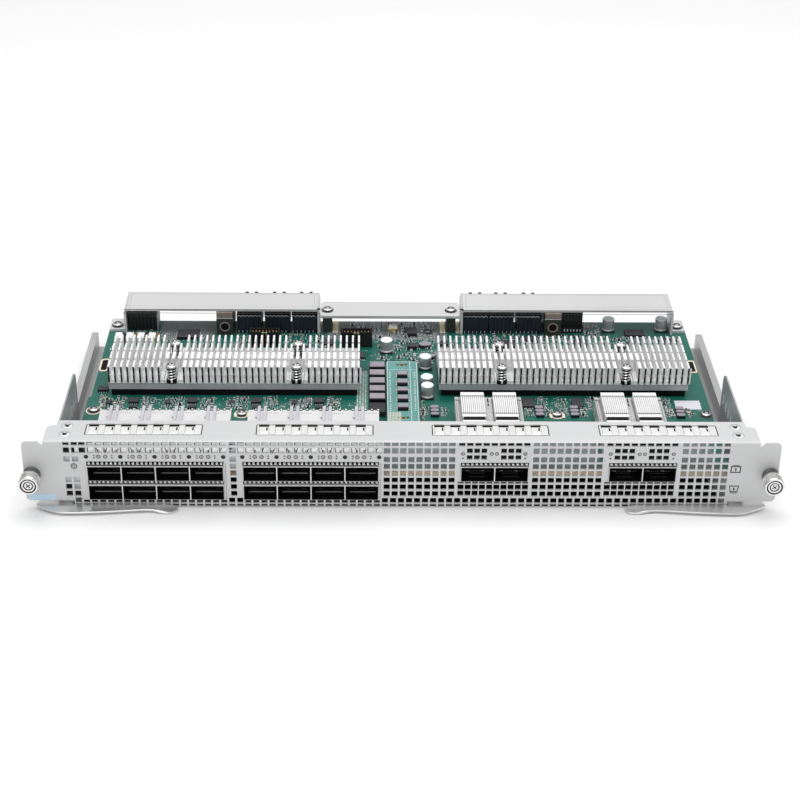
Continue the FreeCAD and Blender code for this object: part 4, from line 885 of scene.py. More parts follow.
def flange_screws():
    """Countersunk screws whose flat heads lie flush with the fold."""
    heads = Piece("flange_screws", SCREW, SCREW_SHADE)
    z = PANEL_TOP
    for x, y in FOLD_SCREWS:
        heads.shells(
            (x, y, 0), "z", 28,
            # Grey ring in the countersink: painted shade.
            ([(FOLD_SCREW_R + 0.02, z - T), (FOLD_SCREW_R + 0.02, z - 0.1), (3.1, z - 0.12)], MID_GREY),
            ([(3.1, z - 0.4), (3.1, z - 0.08), (2.9, z - 0.02), (0.0, z - 0.02)], PLATE_TOP),
        )
        # Pale disc on the head: painted highlight; dark hexagon and slits: painted shade.
        moon = circle(x + 0.5, y - 1.0, 2.0, 24)
        heads.prism(moon, "z", z - 0.2, z - 0.012, PALE_AND_LIT)
        heads.prism(circle(x, y - 0.3, 1.5, 6), "z", z - 0.2, z - 0.008, SCREW_SHADE)
        for angle in (0.55, math.pi - 0.55):
            heads.prism(turned(x + 1.1 * math.cos(angle), y + 0.9, angle, 0.9, 0.42), "z", z - 0.2,
                        z - 0.006, SCREW_SHADE)
    heads.make()


flange_screws()


# -------------------------------------------------------------------- heat sinks
def wide_sink(name, cad, screw_xs):
    """Rows of fins in four bands, cut away round the spring screws; their tops and front faces are widened
    and bright as painted highlight, with painted shade lines, wells and strip.
    """
    lo, hi = node_mm(cad)
    base_top = lo[2] + 4.4
    fins = Piece(name, FIN, FIN_BASE, HIGHLIGHT_WHITE)
    fins.box(lo[0], hi[0], lo[1], hi[1], lo[2], base_top, FIN_BASE, 0.2)
    # Lighter strip along the base's front top edge: painted highlight.
    fins.box(lo[0] + 0.3, hi[0] - 0.3, lo[1], lo[1] + 0.5, base_top - 0.5, base_top + 0.02, FIN)
    # Raised channel floor in the light fin colour, lighter than the base: painted light.
    ends = [lo[0] + 0.4, screw_xs[0] - 4.8, screw_xs[0] + 4.8, screw_xs[1] - 4.8, screw_xs[1] + 4.8,
            hi[0] - 0.4]
    for k in range(5):
        a, b = (lo[1] + 0.1, hi[1] - 0.1) if k % 2 == 0 else (lo[1] + 11.2, lo[1] + 31.4)
        fins.box(ends[k], ends[k + 1], a, b, base_top - 0.1, base_top + 2.3, FIN)
    count = 41
    t = 1.15
    pitch = (hi[0] - lo[0] - t) / (count - 1)
    spans = ((0.0, 8.6), (11.2, 20.0), (21.9, 31.4), (34.1, 43.0))
    for i in range(count):
        x = lo[0] + pitch * i
        mid = x + t / 2
        fins.box(x, x + t, lo[1], hi[1], base_top - 0.1, base_top + 2.2, FIN)
        for k, (a, b) in enumerate(spans):
            if k in (0, 3) and any(abs(mid - s) < 4.6 for s in screw_xs):
                continue
            y = lo[1] + a
            fins.box(x, x + t, y, lo[1] + b, base_top + 2.1, hi[2] - 0.4, FIN)
            # The bright caps on the fin tops are painted highlight; fold widens them towards the next fin
            # on the front two bands, not a real fold.
            fold = 1.0 if k < 2 and abs(x) < 152.0 and i < count - 1 else 0.0
            fins.box(x - 0.02, x + t + 0.02 + fold, y, lo[1] + b, hi[2] - 0.5, hi[2], HIGHLIGHT_WHITE, 0.15)
            # Bright front faces of the front band, wider than the fins and parted by a dark line: painted
            # highlight and painted shade.
            if k == 0:
                fins.box(x - 0.02, x + t + 1.2, y, y + 0.25, base_top + 6.4, hi[2] - 0.5, HIGHLIGHT_WHITE)
                fins.box(x - 0.02, x + t + 1.0, y, y + 0.25, base_top + 0.4, base_top + 6.1, HIGHLIGHT_WHITE)
                fins.box(x - 0.01, x + t + 0.01, y + 0.01, y + 0.2, base_top + 6.0, base_top + 6.5, MARK_AND_SHADE)
    # Dark rings round the screws: painted shade in the wells.
    for s in screw_xs:
        for y in (lo[1] + 3.3, hi[1] - 8.7):
            fins.lathe([(4.4, base_top), (4.4, base_top + 0.1), (2.7, base_top + 0.1)], (s, y, 0), "z", 28,
                       BLACK_AND_SHADE)
    # Dark strip under the base's front edge: painted shadow.
    fins.box(lo[0] + 1.5, hi[0] - 1.5, lo[1] + 0.6, lo[1] + 2.0, BOARD_TOP + 0.05, lo[2] + 0.05, BLACK_AND_SHADE)
    return fins.make(replaces=[cad])


for side_name, screws_x in SINK_SCREWS.items():
    wide_sink(side_name + "_sink_fins", side_name + "_heat_sink", screws_x)


def spring_screws():
    """Shouldered screws with a cross recess over thick coil springs; the shank, rim underside, recess and
    side strips are painted shade, the cross bars painted highlight.
    """
    heads = Piece("spring_screw_heads", SCREW, SCREW_SHADE, HIGHLIGHT_WHITE)
    coils = Piece("sink_coils", SPRING)
    for x in SINK_SCREWS["left"] + SINK_SCREWS["right"]:
        for y in SINK_SCREW_ROWS:
            z = 36.7
            # Dark shank: painted shade under the head.
            heads.lathe([(1.95, 27.5 - z), (1.95, -0.1), (3.2, 0.0)], (x, y, z), "z", 26, BLACK_AND_SHADE)
            heads.shells(
                (x, y, z), "z", 26,
                ([(3.2, -0.5), (3.35, -0.2), (3.35, 0.7)], SCREW_SHADE),
                ([(3.35, 0.7), (3.25, 1.7), (2.9, 2.1), (2.3, 2.3)], SCREW),
                ([(2.3, 2.3), (2.0, 2.1), (1.6, 1.3), (0.0, 1.2)], SCREW_SHADE),
            )
            # White cross bars in the recess: painted highlight.
            for k in range(2):
                heads.prism(turned(x, y, 0.5 + k * math.pi / 2, 1.9, 0.4), "z", z + 1.15, z + 2.25, HIGHLIGHT_WHITE)
            coils.coil(x, y, 27.5, z, 2.5, 0.58, 4.0)
            # Dark strips beside the rear screws: painted shade.
            if y > 120:
                for dx in (-2.3, 1.7):
                    heads.box(x + dx, x + dx + 0.6, y - 4.6, y - 4.2, 29.8, 37.6, SCREW_SHADE)
    heads.make(replaces=["sink_screws"])
    coils.make(replaces=["sink_springs"])


spring_screws()


def riding_sink(index):
    """Finned sink that rides on a plugged-in module; its rib tops and cross bars are painted highlight, its
    dashes and slot painted shade.
    """
    cad = "riding_sink_%d" % (index + 1)
    lo, hi = node_mm(cad)
    top = hi[2]
    base = 28.5
    sink = Piece("riding_fins_%d" % (index + 1), RIDER, HIGHLIGHT_WHITE)
    mid = (lo[0] + hi[0]) / 2
    sink.box(mid - 5.0, mid + 5.0, 44.5, 64.5, lo[2], base + 0.1)
    sink.box(lo[0], hi[0], lo[1], hi[1], base, base + 1.6)
    sink.box(lo[0] + 0.3, hi[0] - 0.3, 50.2, 70.0, base + 1.5, top - 1.2)
    count = 12
    t = 0.8
    pitch = (hi[0] - lo[0] - t) / (count - 1)
    for i in range(count):
        x = lo[0] + pitch * i
        sink.box(x, x + t, 45.3, hi[1], base + 1.5, top - 2.2)
        # Bright rib tops: painted highlight.
        sink.box(x, x + t, 50.2, 69.9, top - 2.3, top - 0.1, HIGHLIGHT_WHITE, 0.1)
        # Dashes between the ribs, half lit and half dark: painted light and painted shade.
        for a in (48.7, 70.0):
            sink.box(x - 0.1, x + t * 0.5, a, a + 1.2, top - 2.3, top - 0.4, RIDER)
            sink.box(x + t * 0.5, min(x + pitch - 0.1, hi[0] - 0.3), a, a + 1.2, top - 2.3, top - 0.12,
                     EDGE_SHADE)
    for a, b in ((34.0, 41.2), (45.2, 48.6), (71.2, 75.0)):
        # Bright tops of the cross bars: painted highlight.
        sink.box(lo[0], hi[0], a, b, top - 0.9, top - 0.1, HIGHLIGHT_WHITE, 0.1)
        sink.box(lo[0] + 0.4, hi[0] - 0.4, a + 0.3, b - 0.2, base + 1.5, top - 0.8)
    # Slot filled near black: painted shade.
    sink.box(lo[0] + 0.8, hi[0] - 0.8, 41.1, 45.22, base + 1.5, top - 0.12, BLACK_AND_SHADE)
    return sink.make(body=cad, replaces=[cad])


for rider in range(4):
    riding_sink(rider)


def rider_frames():
    """Spring frames over the larger cages, with a perforated middle strip."""
    for name, cad in (("left", "left_sink_clip"), ("right", "right_sink_clip")):
        lo, hi = node_mm(cad)
        clip = Piece(name + "_clip_frame", CLIP, MARK_AND_SHADE)
        z = lo[2] + 6.0
        for x0, x1 in ((lo[0], lo[0] + 2.3), (hi[0] - 2.3, hi[0])):
            clip.box(x0, x1, lo[1], hi[1], z, hi[2], CLIP, 0.3)
            # Dark line along each side rail: painted edge shade.
            clip.box(x0 + 0.8, x0 + 1.05, lo[1] + 1.5, hi[1] - 3.0, hi[2] - 0.05, hi[2] + 0.03, EDGE_SHADE)
            clip.prism([(x0 + 0.4, hi[1] - 4.4), (x0 + 1.9, hi[1] - 5.2), (x0 + 1.9, hi[1] - 4.0),
                       (x0 + 0.4, hi[1] - 3.2)], "z", hi[2] - 0.05, hi[2] + 0.04, MARK_AND_SHADE)
        mid = (lo[0] + hi[0]) / 2
        clip.box(mid - 2.3, mid + 2.3, lo[1], hi[1], z, hi[2] - 0.6, CLIP, 0.3)
        for k in range(9):
            y = lo[1] + 4 + 4.4 * k
            clip.box(mid - 1.6, mid + 1.6, y, y + 1.0, hi[2] - 0.65, hi[2] - 0.35, CLIP, 0.15)
            clip.box(mid + 0.4 * (k % 3 - 1) - 0.25, mid + 0.4 * (k % 3 - 1) + 0.25, y + 2.4, y + 2.8,
                     hi[2] - 0.64, hi[2] - 0.57, MARK_AND_SHADE)
        clip.box(mid - 0.7, mid + 0.9, 38.0, 39.6, hi[2] - 0.7, hi[2] - 0.5, MARK_AND_SHADE)
        clip.box(mid - 0.5, mid + 0.3, hi[1] - 10.5, hi[1] - 1.0, hi[2] - 0.7, hi[2] - 0.5, BLACK_AND_SHADE)
        clip.box(lo[0], hi[0], hi[1] - 1.2, hi[1], z, hi[2] - 0.4, CLIP, 0.2)
        clip.box(lo[0], hi[0], lo[1], lo[1] + 1.2, z, hi[2] - 0.4, CLIP, 0.2)
        for x in (lo[0], hi[0] - 0.6):
            for y in (34.0, 67.0):
                clip.box(x, x + 0.6, y, y + 8.0, lo[2], z + 0.2, CLIP)
        clip.make(replaces=[cad])


rider_frames()


# ------------------------------------------------------------------ port cages
def cage_details():
    """Seams, prongs and small slots on the cages, a near-white strip on the cage tops as painted light, and
    near-black sheets inside the ports as painted shade.
    """
    trim = Piece("cage_trim", CAGE, MARK_AND_SHADE)
    top = CAGE_HIGH[2]
    for left in BANKS:
        # Near-white strip on the cage tops behind the vents: painted light.
        trim.box(left + 0.4, left + 4 * PITCH - 0.4, 4.6, 24.0, top - 0.02, top + 0.03, HIGHLIGHT_WHITE)
        for i in range(5):
            x = left + PITCH * i
            trim.box(x - 0.3, x + 0.3, 24.5, 65.0, top - 0.05, top + 0.1, CAGE)
        for i in range(4):
            x = left + PITCH * i
            for k in range(5):
                a = x + 1.5 + 3.9 * k
                trim.box(a, a + 1.5, 64.9, 65.7, top - 2.6, top - 0.2, CAGE, 0.2)
                # Dark gaps and bright tabs at the prongs: painted shade and painted highlight.
                trim.box(a + 1.9, a + 3.5, 64.2, 65.25, top - 1.2, top + 0.05, BLACK_AND_SHADE)
                trim.box(a + 2.1, a + 3.1, 65.3, 67.4, top - 1.6, top - 0.3, HIGHLIGHT_WHITE, 0.2)
            for k in range(5):
                a = x + 12.4 + 1.3 * k
                trim.box(a, a + 0.5, 61.0, 61.6, top - 0.02, top + 0.06, EDGE_SHADE)
            trim.prism([(x + 3.9, 56.6), (x + 4.7, 56.4), (x + 6.3, 53.4), (x + 5.7, 53.2)], "z",
                       top - 0.02, top + 0.05, MARK_AND_SHADE)
            for k in range(4):
                a = x + 2.0 + VENT_PITCH * k
                trim.box(a, a + 1.5, 4.8, 7.4, top - 0.05, top + 0.08, MARK_AND_SHADE)
                trim.box(a + 1.2, a + 1.6, 7.4, 15.0, top - 0.05, top + 0.06, EDGE_SHADE)
    trim.make()
    # Near-black sheets inside each port: painted shade; the grey bar inside the port cells is a painted
    # highlight.
    port_shade = Piece("port_painted_shade", BLACK_AND_SHADE, CONTACT)
    cells = [(left + PITCH * i + 0.6, z) for left in BANKS for i in range(4) for z in PORT_ROWS]
    wide = [(left + PITCH * i + 0.6, PORT_ROWS[1]) for left in WIDES for i in range(2)]
    front = CAGE_LOW[1]
    for x, z in cells + wide:
        a = x + 0.06
        b = x + PORT_W - 0.06
        rear = 46.0
        port_shade.box(a, b, front, rear, z + 0.02, z + 0.12)
        port_shade.box(a, b, front, rear, z + 8.88, z + 8.98)
        port_shade.box(a, a + 0.1, front, rear, z + 0.1, z + 8.9)
        port_shade.box(b - 0.1, b, front, rear, z + 0.1, z + 8.9)
        port_shade.box(a, b, rear, rear + 0.2, z, z + PORT_H)
        rim = rect(x - 0.3, x + PORT_W + 0.3, z - 0.3, z + 9.2)
        mouth = rect(x + 0.1, x + PORT_W - 0.1, z + 0.1, z + 8.9)
        port_shade.prism(rim, "y", front - 0.04, front + 0.02, BLACK_AND_SHADE, holes=[mouth])
    for x, z in cells:
        port_shade.box(x + 1.8, x + 17.4, 6.6, 7.2, z + 0.3, z + 0.7, MID_GREY)
        port_shade.box(x + 0.6, x + 18.0, 9.4, 12.0, z + 0.1, z + 0.5, BLACK)
        port_shade.box(x + 3.0, x + 6.2, 9.6, 10.2, z + 0.9, z + 1.2, CONTACT)
        port_shade.box(x + 13.4, x + 16.4, 9.6, 10.2, z + 0.9, z + 1.2, CONTACT)
    for x, z in wide:
        port_shade.box(x + 0.8, x + 17.8, 9.0, 10.0, z + 0.6, z + 1.0, CONTACT)
        port_shade.box(x + 3.0, x + 5.0, 8.7, 9.2, z + 1.0, z + 1.4, SOLDER)
        port_shade.box(x + 12.0, x + 13.8, 8.7, 9.2, z + 1.0, z + 1.4, SOLDER)
        for k in range(8):
            port_shade.box(x + 4.6 + 1.2 * k, x + 5.3 + 1.2 * k, 6.4, 7.0, z + 0.8, z + 1.2, CONTACT)
            port_shade.box(x + 5.0 + 1.2 * k, x + 5.6 + 1.2 * k, 3.0, 3.6, z + 0.4, z + 0.8, CONTACT)
    port_shade.make()


cage_details()


# ------------------------------------------------------------------- thumbscrews
def knobs():
    """Cup-shaped captive screws with ringed faces, and their sleeves; the face's bright rim and hub are
    painted highlight, its dark grooves and the inside of the cup painted shade.
    """
    for name, side in (("left", -1), ("right", 1)):
        body = name + "_thumbscrew"
        x = side * KNOB_X
        z = KNOB_Z
        r = 6.0
        f = node_mm(body)[0][1]
        knob = Piece(name + "_knob", SCREW, SCREW_SHADE, KNOB_RING, HIGHLIGHT_WHITE)
        knob.lathe(
            [(5.15, 7.95), (r - 0.25, 8.0), (r, 7.6), (r, 6.2), (5.7, 5.9), (5.7, 5.3), (r, 5.0), (r, 1.1),
             (r - 0.15, 0.4),
             (r - 0.5, 0.05)], (x, f, z), "y", 40, SCREW, cap=False)
        # Rings of the face: bright ones painted highlight, dark ones painted shade in the grooves.
        rings = (
            (5.5, 4.75, 0.05, 0.0, HIGHLIGHT_WHITE), (4.75, 4.25, 0.0, 0.7, SCREW_SHADE), (4.25, 3.9, 0.7, 0.25,
                    SCREW_SHADE),
            (3.9, 2.9, 0.2, 0.3, SCREW), (2.9, 2.5, 0.3, 0.9, SCREW_SHADE), (2.5, 2.2, 0.9, 0.4,
                    SCREW_SHADE), (2.2, 0.0, 0.4, 0.3, HIGHLIGHT_WHITE),
        )
        for r0, r1, d0, d1, material in rings:
            knob.lathe([(r0, d0), (r1, d1)], (x, f, z), "y", 40, material, cap=False)
        for k in range(2):
            knob.prism(turned(x, z, 0.7 + k * math.pi / 2, 1.6, 0.28), "y", f + 0.2, f + 0.45, SCREW_SHADE)
        knob.lathe([(5.15, 7.95), (5.15, 2.6), (1.5, 2.6)], (x, f, z), "y", 40, SCREW_SHADE)
        for k in range(30):
            a = 2 * math.pi * k / 30
            knob.prism(turned(x + (r - 0.14) * math.cos(a), z + (r - 0.14) * math.sin(a), a, 0.16, 0.2),
                       "y", f + 1.3, f + 4.8, SCREW)
        knob.lathe([(1.5, 2.5), (1.5, 17.4), (1.1, 18.05), (0.0, 18.1)], (x, f, z), "y", 20, SCREW)
        knob.make(body=body, replaces=[body])
    sleeves = Piece("ferrule_sleeves", KNOB_RING)
    for side in (-1, 1):
        sleeves.lathe([(3.7, -6.3), (4.5, -6.5), (4.8, -6.2), (4.8, -1.4), (5.1, -1.2), (5.1, -0.02),
                      (4.0, 0.0), (3.9, 1.15), (1.9, 1.15), (1.9, -1.0), (3.4, -1.0), (3.4, -6.0), (3.7,
                              -6.3)],
                      (side * KNOB_X, 0, KNOB_Z), "y", 36, KNOB_RING)
    sleeves.make(replaces=["screw_ferrules"])


knobs()


# --------------------------------------------------------------------- levers
def levers():
    """Ejector levers with rounded rims, whose tips bend down a little."""
    outline = [
        (193.7, -0.5), (193.7, 7.4), (196.5, 11.6), (201.5, 13), (207.2, 11.2), (211.6, 7.4), (214.3, 3.2),
        (215.7, -0.7), (214.0, -3), (211.0, -4.9), (206.5, -7.2), (202.5, -8.8), (199.0, -9.55), (194.0,
                -9.65),
        (188.6, -9.45), (177.0, -8.8), (162.6, -7.4), (150.5, -6.25), (147.0, -6.3),
        (143.5, -7.1), (140.0, -7.8), (137.2, -7.9), (134.6, -7.2), (132.8, -6), (132.0, -4.6),
        (132.3, -3.2), (133.6, -1.8), (136.0, -0.9), (140.0, -0.5),
    ]
    for name, side in (("left", -1), ("right", 1)):
        body = name + "_ejector"
        lever = Piece(name + "_lever", LEVER)
        z1 = node_mm(body)[1][2]
        z0 = z1 - 1.25
        points = []
        rings = []
        n = len(outline)

        def inset(i, d):
            p = Vector(outline[i])
            a = Vector(outline[i - 1])
            b = Vector(outline[(i + 1) % n])
            e = (b - a).normalized()
            normal = Vector((e.y, -e.x))
            return p + normal * d

        area = signed_area(outline)
        sign = -1.0 if area > 0 else 1.0

        def dip(x, y):
            t = max(0.0, min(1.0, (148.5 - x) / 9.0))
            return -1.15 * t * t * (3 - 2 * t) * max(0.0, min(1.0, (-y - 1.0) / 4.0))

        for d, z in ((0.25, z0), (0.0, z0 + 0.25), (0.0, z1 - 0.3), (0.3, z1)):
            ring = []
            for i in range(n):
                q = inset(i, sign * d)
                ring.append(len(points))
                points.append((side * q.x, q.y, max(0.3, z + dip(q.x, q.y))))
            rings.append(ring)
        faces = []
        for k in range(3):
            for i in range(n):
                j = (i + 1) % n
                f = (rings[k][i], rings[k][j], rings[k + 1][j], rings[k + 1][i])
                faces.append(f if (area > 0) == (side > 0) else tuple(reversed(f)))
        lever.add(points, faces, LEVER, True)
        hole = circle(*PIVOT, 2.55, 24)
        for ring, up in ((rings[3], True), (rings[0], False)):
            loop = [Vector((points[i][0], points[i][1], 0)) for i in ring]
            inner = [Vector((side * x, y, 0)) for x, y in hole]
            z_hole = z1 if up else z0
            allp = [points[i] for i in ring] + [(side * x, y, z_hole) for x, y in hole]
            caps = []
            for t in tessellate_polygon([loop, inner]):
                p, q, r = [allp[i] for i in t]
                turn = (q[0] - p[0]) * (r[1] - p[1]) - (q[1] - p[1]) * (r[0] - p[0])
                caps.append(tuple(t) if (turn > 0) == up else tuple(reversed(t)))
            lever.add(allp, caps, LEVER, True)
        walls = []
        ringp = [(side * x, y, z0) for x, y in hole] + [(side * x, y, z1) for x, y in hole]
        for i in range(24):
            j = (i + 1) % 24
            walls.append((i, j, j + 24, i + 24) if side < 0 else (i + 24, j + 24, j, i))
        lever.add(ringp, walls, LEVER, True)
        lever.make(body=body, replaces=[body], sharp=50)


levers()


# ------------------------------------------------------------ parts on the board
rng = random.Random(11)
Z = BOARD_TOP


def two_ends(piece, x, y, w, d, h, body, turn=False):
    """Surface-mount part with bright ends."""
    if turn:
        w, d = d, w
    x0, x1, y0, y1 = x - w / 2, x + w / 2, y - d / 2, y + d / 2
    if w >= d:
        e = w * 0.24
        ends = ((x0, x0 + e, y0, y1), (x1 - e, x1, y0, y1))
        middle = (x0 + e, x1 - e, y0 + 0.05, y1 - 0.05)
    else:
        e = d * 0.24
        ends = ((x0, x1, y0, y0 + e), (x0, x1, y1 - e, y1))
        middle = (x0 + 0.05, x1 - 0.05, y0 + e, y1 - e)
    for end in ends:
        piece.box(*end, Z, Z + h, SOLDER, 0.08)
    piece.box(*middle, Z, Z + h * 0.96, body)


def packaged(piece, x, y, w, d, h, pins, axis="y", z=None):
    """Chip body with gull-wing leads on two sides."""
    z = Z if z is None else z
    piece.block(x, y, w / 2, d / 2, z + 0.15, z + h - 0.1, BLACK)
    piece.block(x, y, w / 2, d / 2, z + h - 0.12, z + h, CHIP_TOP, 0.06)
    for i in range(pins):
        f = (i + 0.5) / pins - 0.5
        for s in (-1, 1):
            if axis == "y":
                px = x + f * (w - 0.6)
                py = y + s * (d / 2 + 0.4)
                piece.block(px, py, 0.26, 0.6, z, z + 0.4, SOLDER)
            else:
                py = y + f * (d - 0.6)
                px = x + s * (w / 2 + 0.4)
                piece.block(px, py, 0.6, 0.26, z, z + 0.4, SOLDER)


def cluster(piece, x0, x1, y0, y1, count):
    """Scatter of small parts on a loose grid, the same every run."""
    placed = []
    tries = 0
    while len(placed) < count and tries < count * 6:
        tries += 1
        w, d, h = rng.choice(((2.4, 1.3, 0.7), (1.6, 0.9, 0.5), (3.0, 1.8, 1.1), (2.0, 1.1, 0.6)))
        turn = rng.random() < 0.5
        a, b = (d, w) if turn else (w, d)
        x = round(rng.uniform(x0 + a / 2, x1 - a / 2) / 0.4) * 0.4
        y = round(rng.uniform(y0 + b / 2, y1 - b / 2) / 0.4) * 0.4
        if any(abs(x - px) < (a + pa) / 2 + 0.2 and abs(y - py) < (b + pb) / 2 + 0.2 for px, py, pa,
               pb in placed):
            continue
        placed.append((x, y, a, b))
        two_ends(piece, x, y, w, d, h, rng.choice((SMD, BLACK, SMD, SMD_TAN, SMD, BLACK, SMD, BLACK_AND_SHADE)),
                 turn)


def silk_lines(piece, x0, x1, y0, y1, count):
    """Scatter of short printed lines."""
    for _ in range(count):
        x = rng.uniform(x0, x1)
        y = rng.uniform(y0, y1)
        if rng.random() < 0.5:
            piece.box(x, x + rng.uniform(1.0, 3.0), y, y + 0.22, Z, Z + 0.03, SILK)
        else:
            piece.box(x, x + 0.22, y, y + rng.uniform(1.0, 3.0), Z, Z + 0.03, SILK)


small = Piece("board_small_parts", SMD)
for x in (-167.8, -131.0, -90.8, -51.2):
    packaged(small, x, 91.8, 6.0, 5.4, 1.9, 4)
    packaged(small, x + 0.4, 84.6, 5.0, 3.2, 1.3, 3)
    for dx in (-13.5, 5.0):
        cluster(small, x + dx, x + dx + 9.0, 82.5, 98.5, 26)
    cluster(small, x - 19.0, x - 13.0, 83.0, 97.0, 14)
    small.box(x - 17.2, x - 13.8, 88.2, 92.0, Z, Z + 1.6, CHIP_TOP, 0.2)
for x in (80.8, 111.8):
    packaged(small, x, 89.8, 7.0, 10.6, 1.9, 5)
    cluster(small, x + 5.0, x + 12.5, 82.0, 99.0, 24)
    cluster(small, x - 14.5, x - 5.5, 82.0, 98.0, 22)
for cx, cy in ((21.5, 78.2), (87.1, 78.0), (109.0, 78.0), (175.3, 77.4)):
    for k in range(3):
        small.box(cx - 2.6, cx + 2.6, cy - 4.6 + 4.2 * k, cy - 1.2 + 4.2 * k, Z, Z + 1.6, BLACK)
        small.prism(rounded(cx - 2.6, cx + 2.6, cy - 4.4 + 4.2 * k, cy - 1.3 + 4.2 * k, 1.2), "z", Z + 1.5,
                    Z + 2.1, COIL)
    cluster(small, cx - 9.5, cx - 3.2, cy - 4.0, cy + 8.0, 15)
    cluster(small, cx + 3.2, cx + 9.0, cy - 4.0, cy + 8.0, 14)
packaged(small, -188.9, 106.5, 6.6, 5.2, 2.0, 4)
cluster(small, 163.0, 172.0, 74.0, 98.0, 34)
for x0, x1, y0, y1, n in (
    (-160.0, -150.5, 158.0, 184.0, 20), (-133.0, -123.5, 150.0, 181.0, 26), (-158.0, -112.0, 146.5, 160.0,
            60),
    (-111.0, -101.0, 147.0, 183.0, 30), (-77.0, -40.5, 147.0, 184.0, 110), (-34.0, 26.0, 176.0, 202.0, 120),
    (-16.0, 40.0, 141.0, 158.0, 60), (-15.0, 42.0, 158.0, 176.0, 80), (42.0, 132.0, 146.0, 184.0, 300),
    (132.0, 191.0, 146.0, 182.0, 170), (125.5, 137.5, 181.0, 201.0, 24), (-192.0, -164.0, 146.0, 167.0, 40),
    (-190.0, -184.5, 84.0, 103.0, 14), (12.5, 15.5, 70.0, 96.0, 12), (-186.0, -160.0, 176.5, 188.0, 50),
):
    cluster(small, x0, x1, y0, y1, n)
for cx, cy, w, d, h in (
    (-176.0, 154.0, 10.0, 8.0, 1.8), (-145.0, 154.0, 8.0, 7.0, 1.6), (-64.0, 159.0, 9.0, 9.0, 2.2), (-47.0,
            170.0, 7.0, 7.0, 1.8),
    (52.0, 160.0, 9.0, 7.0, 2.0), (74.0, 168.0, 9.0, 9.0, 2.2), (100.0, 158.0, 10.0, 7.0, 1.8), (122.0,
            170.0, 8.0, 8.0, 2.0),
    (150.0, 165.0, 9.0, 9.0, 2.2), (181.0, 172.0, 7.0, 9.0, 1.8), (8.0, 188.0, 8.0, 6.0, 2.0), (-28.0,
            184.0, 7.0, 7.0, 2.0),
    (30.0, 168.0, 6.0, 5.0, 2.6), (-26.0, 152.0, 8.0, 7.0, 1.8), (88.0, 176.0, 7.0, 6.0, 1.8),
):
    packaged(small, cx, cy, w, d, h, 6)
small.make()

# The chips that the frame carries as plain blocks, with leads and a paler face.
placed = Piece("board_chips_detail", CHIP, CHIP_TOP)
packaged(placed, -141.5, 181.0, 14.6, 11.0, 2.0, 12, "x")
packaged(placed, 160.3, 184.6, 13.2, 8.6, 2.0, 10)
placed.make(replaces=["board_chips"])

silk = Piece("board_marks", SILK, GOLD)
silk_lines(silk, -186, -26, 83, 98, 150)
silk_lines(silk, 76, 190, 74, 98, 110)
silk_lines(silk, -186, 190, 146, 183, 520)
silk_lines(silk, -48, 34, 183, 202, 120)
for x, y in ((-188.8, 96.0), (-188.7, 91.0)):
    silk.lathe([(0.95, 0.0), (0.95, 0.06), (0.35, 0.06)], (x, y, Z), "z", 16, GOLD, cap=False)
for x, y, r in ((-191.6, 81.0, 5.0), (-99.0, 77.0, 5.0), (98.0, 77.0, 5.0), (191.6, 77.0, 3.8)):
    silk.lathe([(r, 0.0), (r, 0.08), (3.4, 0.09)], (x, y, Z), "z", 24, CREAM, cap=False)
for x0, x1, y0, y1 in ((-103.6, -101.8, 73.0, 78.0), (-96.0, -94.2, 73.0, 78.0), (93.4, 95.0, 73.0, 78.0),
                       (101.0, 102.8, 73.0, 78.0)):
    silk.box(x0, x1, y0, y1, Z, Z + 0.5, CREAM, 0.1)
for x0, x1 in ((-54.3, -52.3), (-44.4, -40.6), (28.4, 32.0), (39.2, 41.6)):
    silk.box(x0, x1, 186.2, 202.6, Z, Z + 0.4, CREAM, 0.1)
    silk.box((x0 + x1) / 2 - 0.3, (x0 + x1) / 2 + 0.3, 186.4, 202.2, Z + 0.3, Z + 0.6, GOLD, 0.1)
for sign in (-1, 1):
    loop = rounded(189.4, 195.4, 131.0, 147.6, 2.4)
    inside = rounded(190.5, 194.3, 132.3, 146.3, 1.4)
    if sign < 0:
        loop = [(-x, y) for x, y in reversed(loop)]
        inside = [(-x, y) for x, y in reversed(inside)]
    else:
        loop = [(min(x, 194.9), y) for x, y in loop]
        inside = [(min(x, 194.0), y) for x, y in inside]
    silk.prism(loop, "z", Z, Z + 0.5, CREAM, holes=[inside])
    silk.prism(inside, "z", Z, Z + 0.06, BLACK_AND_SHADE)
silk.lathe([(0.9, 0.0), (0.9, 0.6), (0.5, 0.8), (0.0, 0.85)], (-180.0, 90.0, Z), "z", 14, PINK)
silk.lathe([(1.1, 0.0), (1.1, 0.7), (0.6, 0.9), (0.0, 0.95)], (181.0, 79.5, Z), "z", 14, PINK)
silk.make()

# Bare laminate edge, the front copper plane, and the near-black film under the board that is painted shade
# for the low vents.
lo, hi = node_mm("main_board")
edging = Piece("board_edging", BOARD_EDGE, BOARD_GREY)
edging.box(lo[0] + 0.5, hi[0] - 0.5, lo[1] - 0.06, lo[1] + 0.2, lo[2] + 0.05, hi[2] - 0.05, BOARD_EDGE)
for x0, x1 in ((-12.6, 32.6), (75.6, 119.2), (163.2, 188.0)):
    edging.box(x0, x1, lo[1] + 0.6, 44.0, Z, Z + 0.04, BOARD_GREY)
edging.box(-48.0, 33.0, 176.0, hi[1] - 0.8, Z, Z + 0.03, BOARD_GREY)
edging.box(-160.0, -124.0, 176.0, hi[1] - 0.8, Z, Z + 0.03, BOARD_GREY)
edging.make()
film = Piece("shade_film", FILM_SHADE)
film.prism(rounded(-186.0, 186.0, 16.0, 190.0, 3.0), "z", 1.02, 1.12, FILM_SHADE)
film.make()


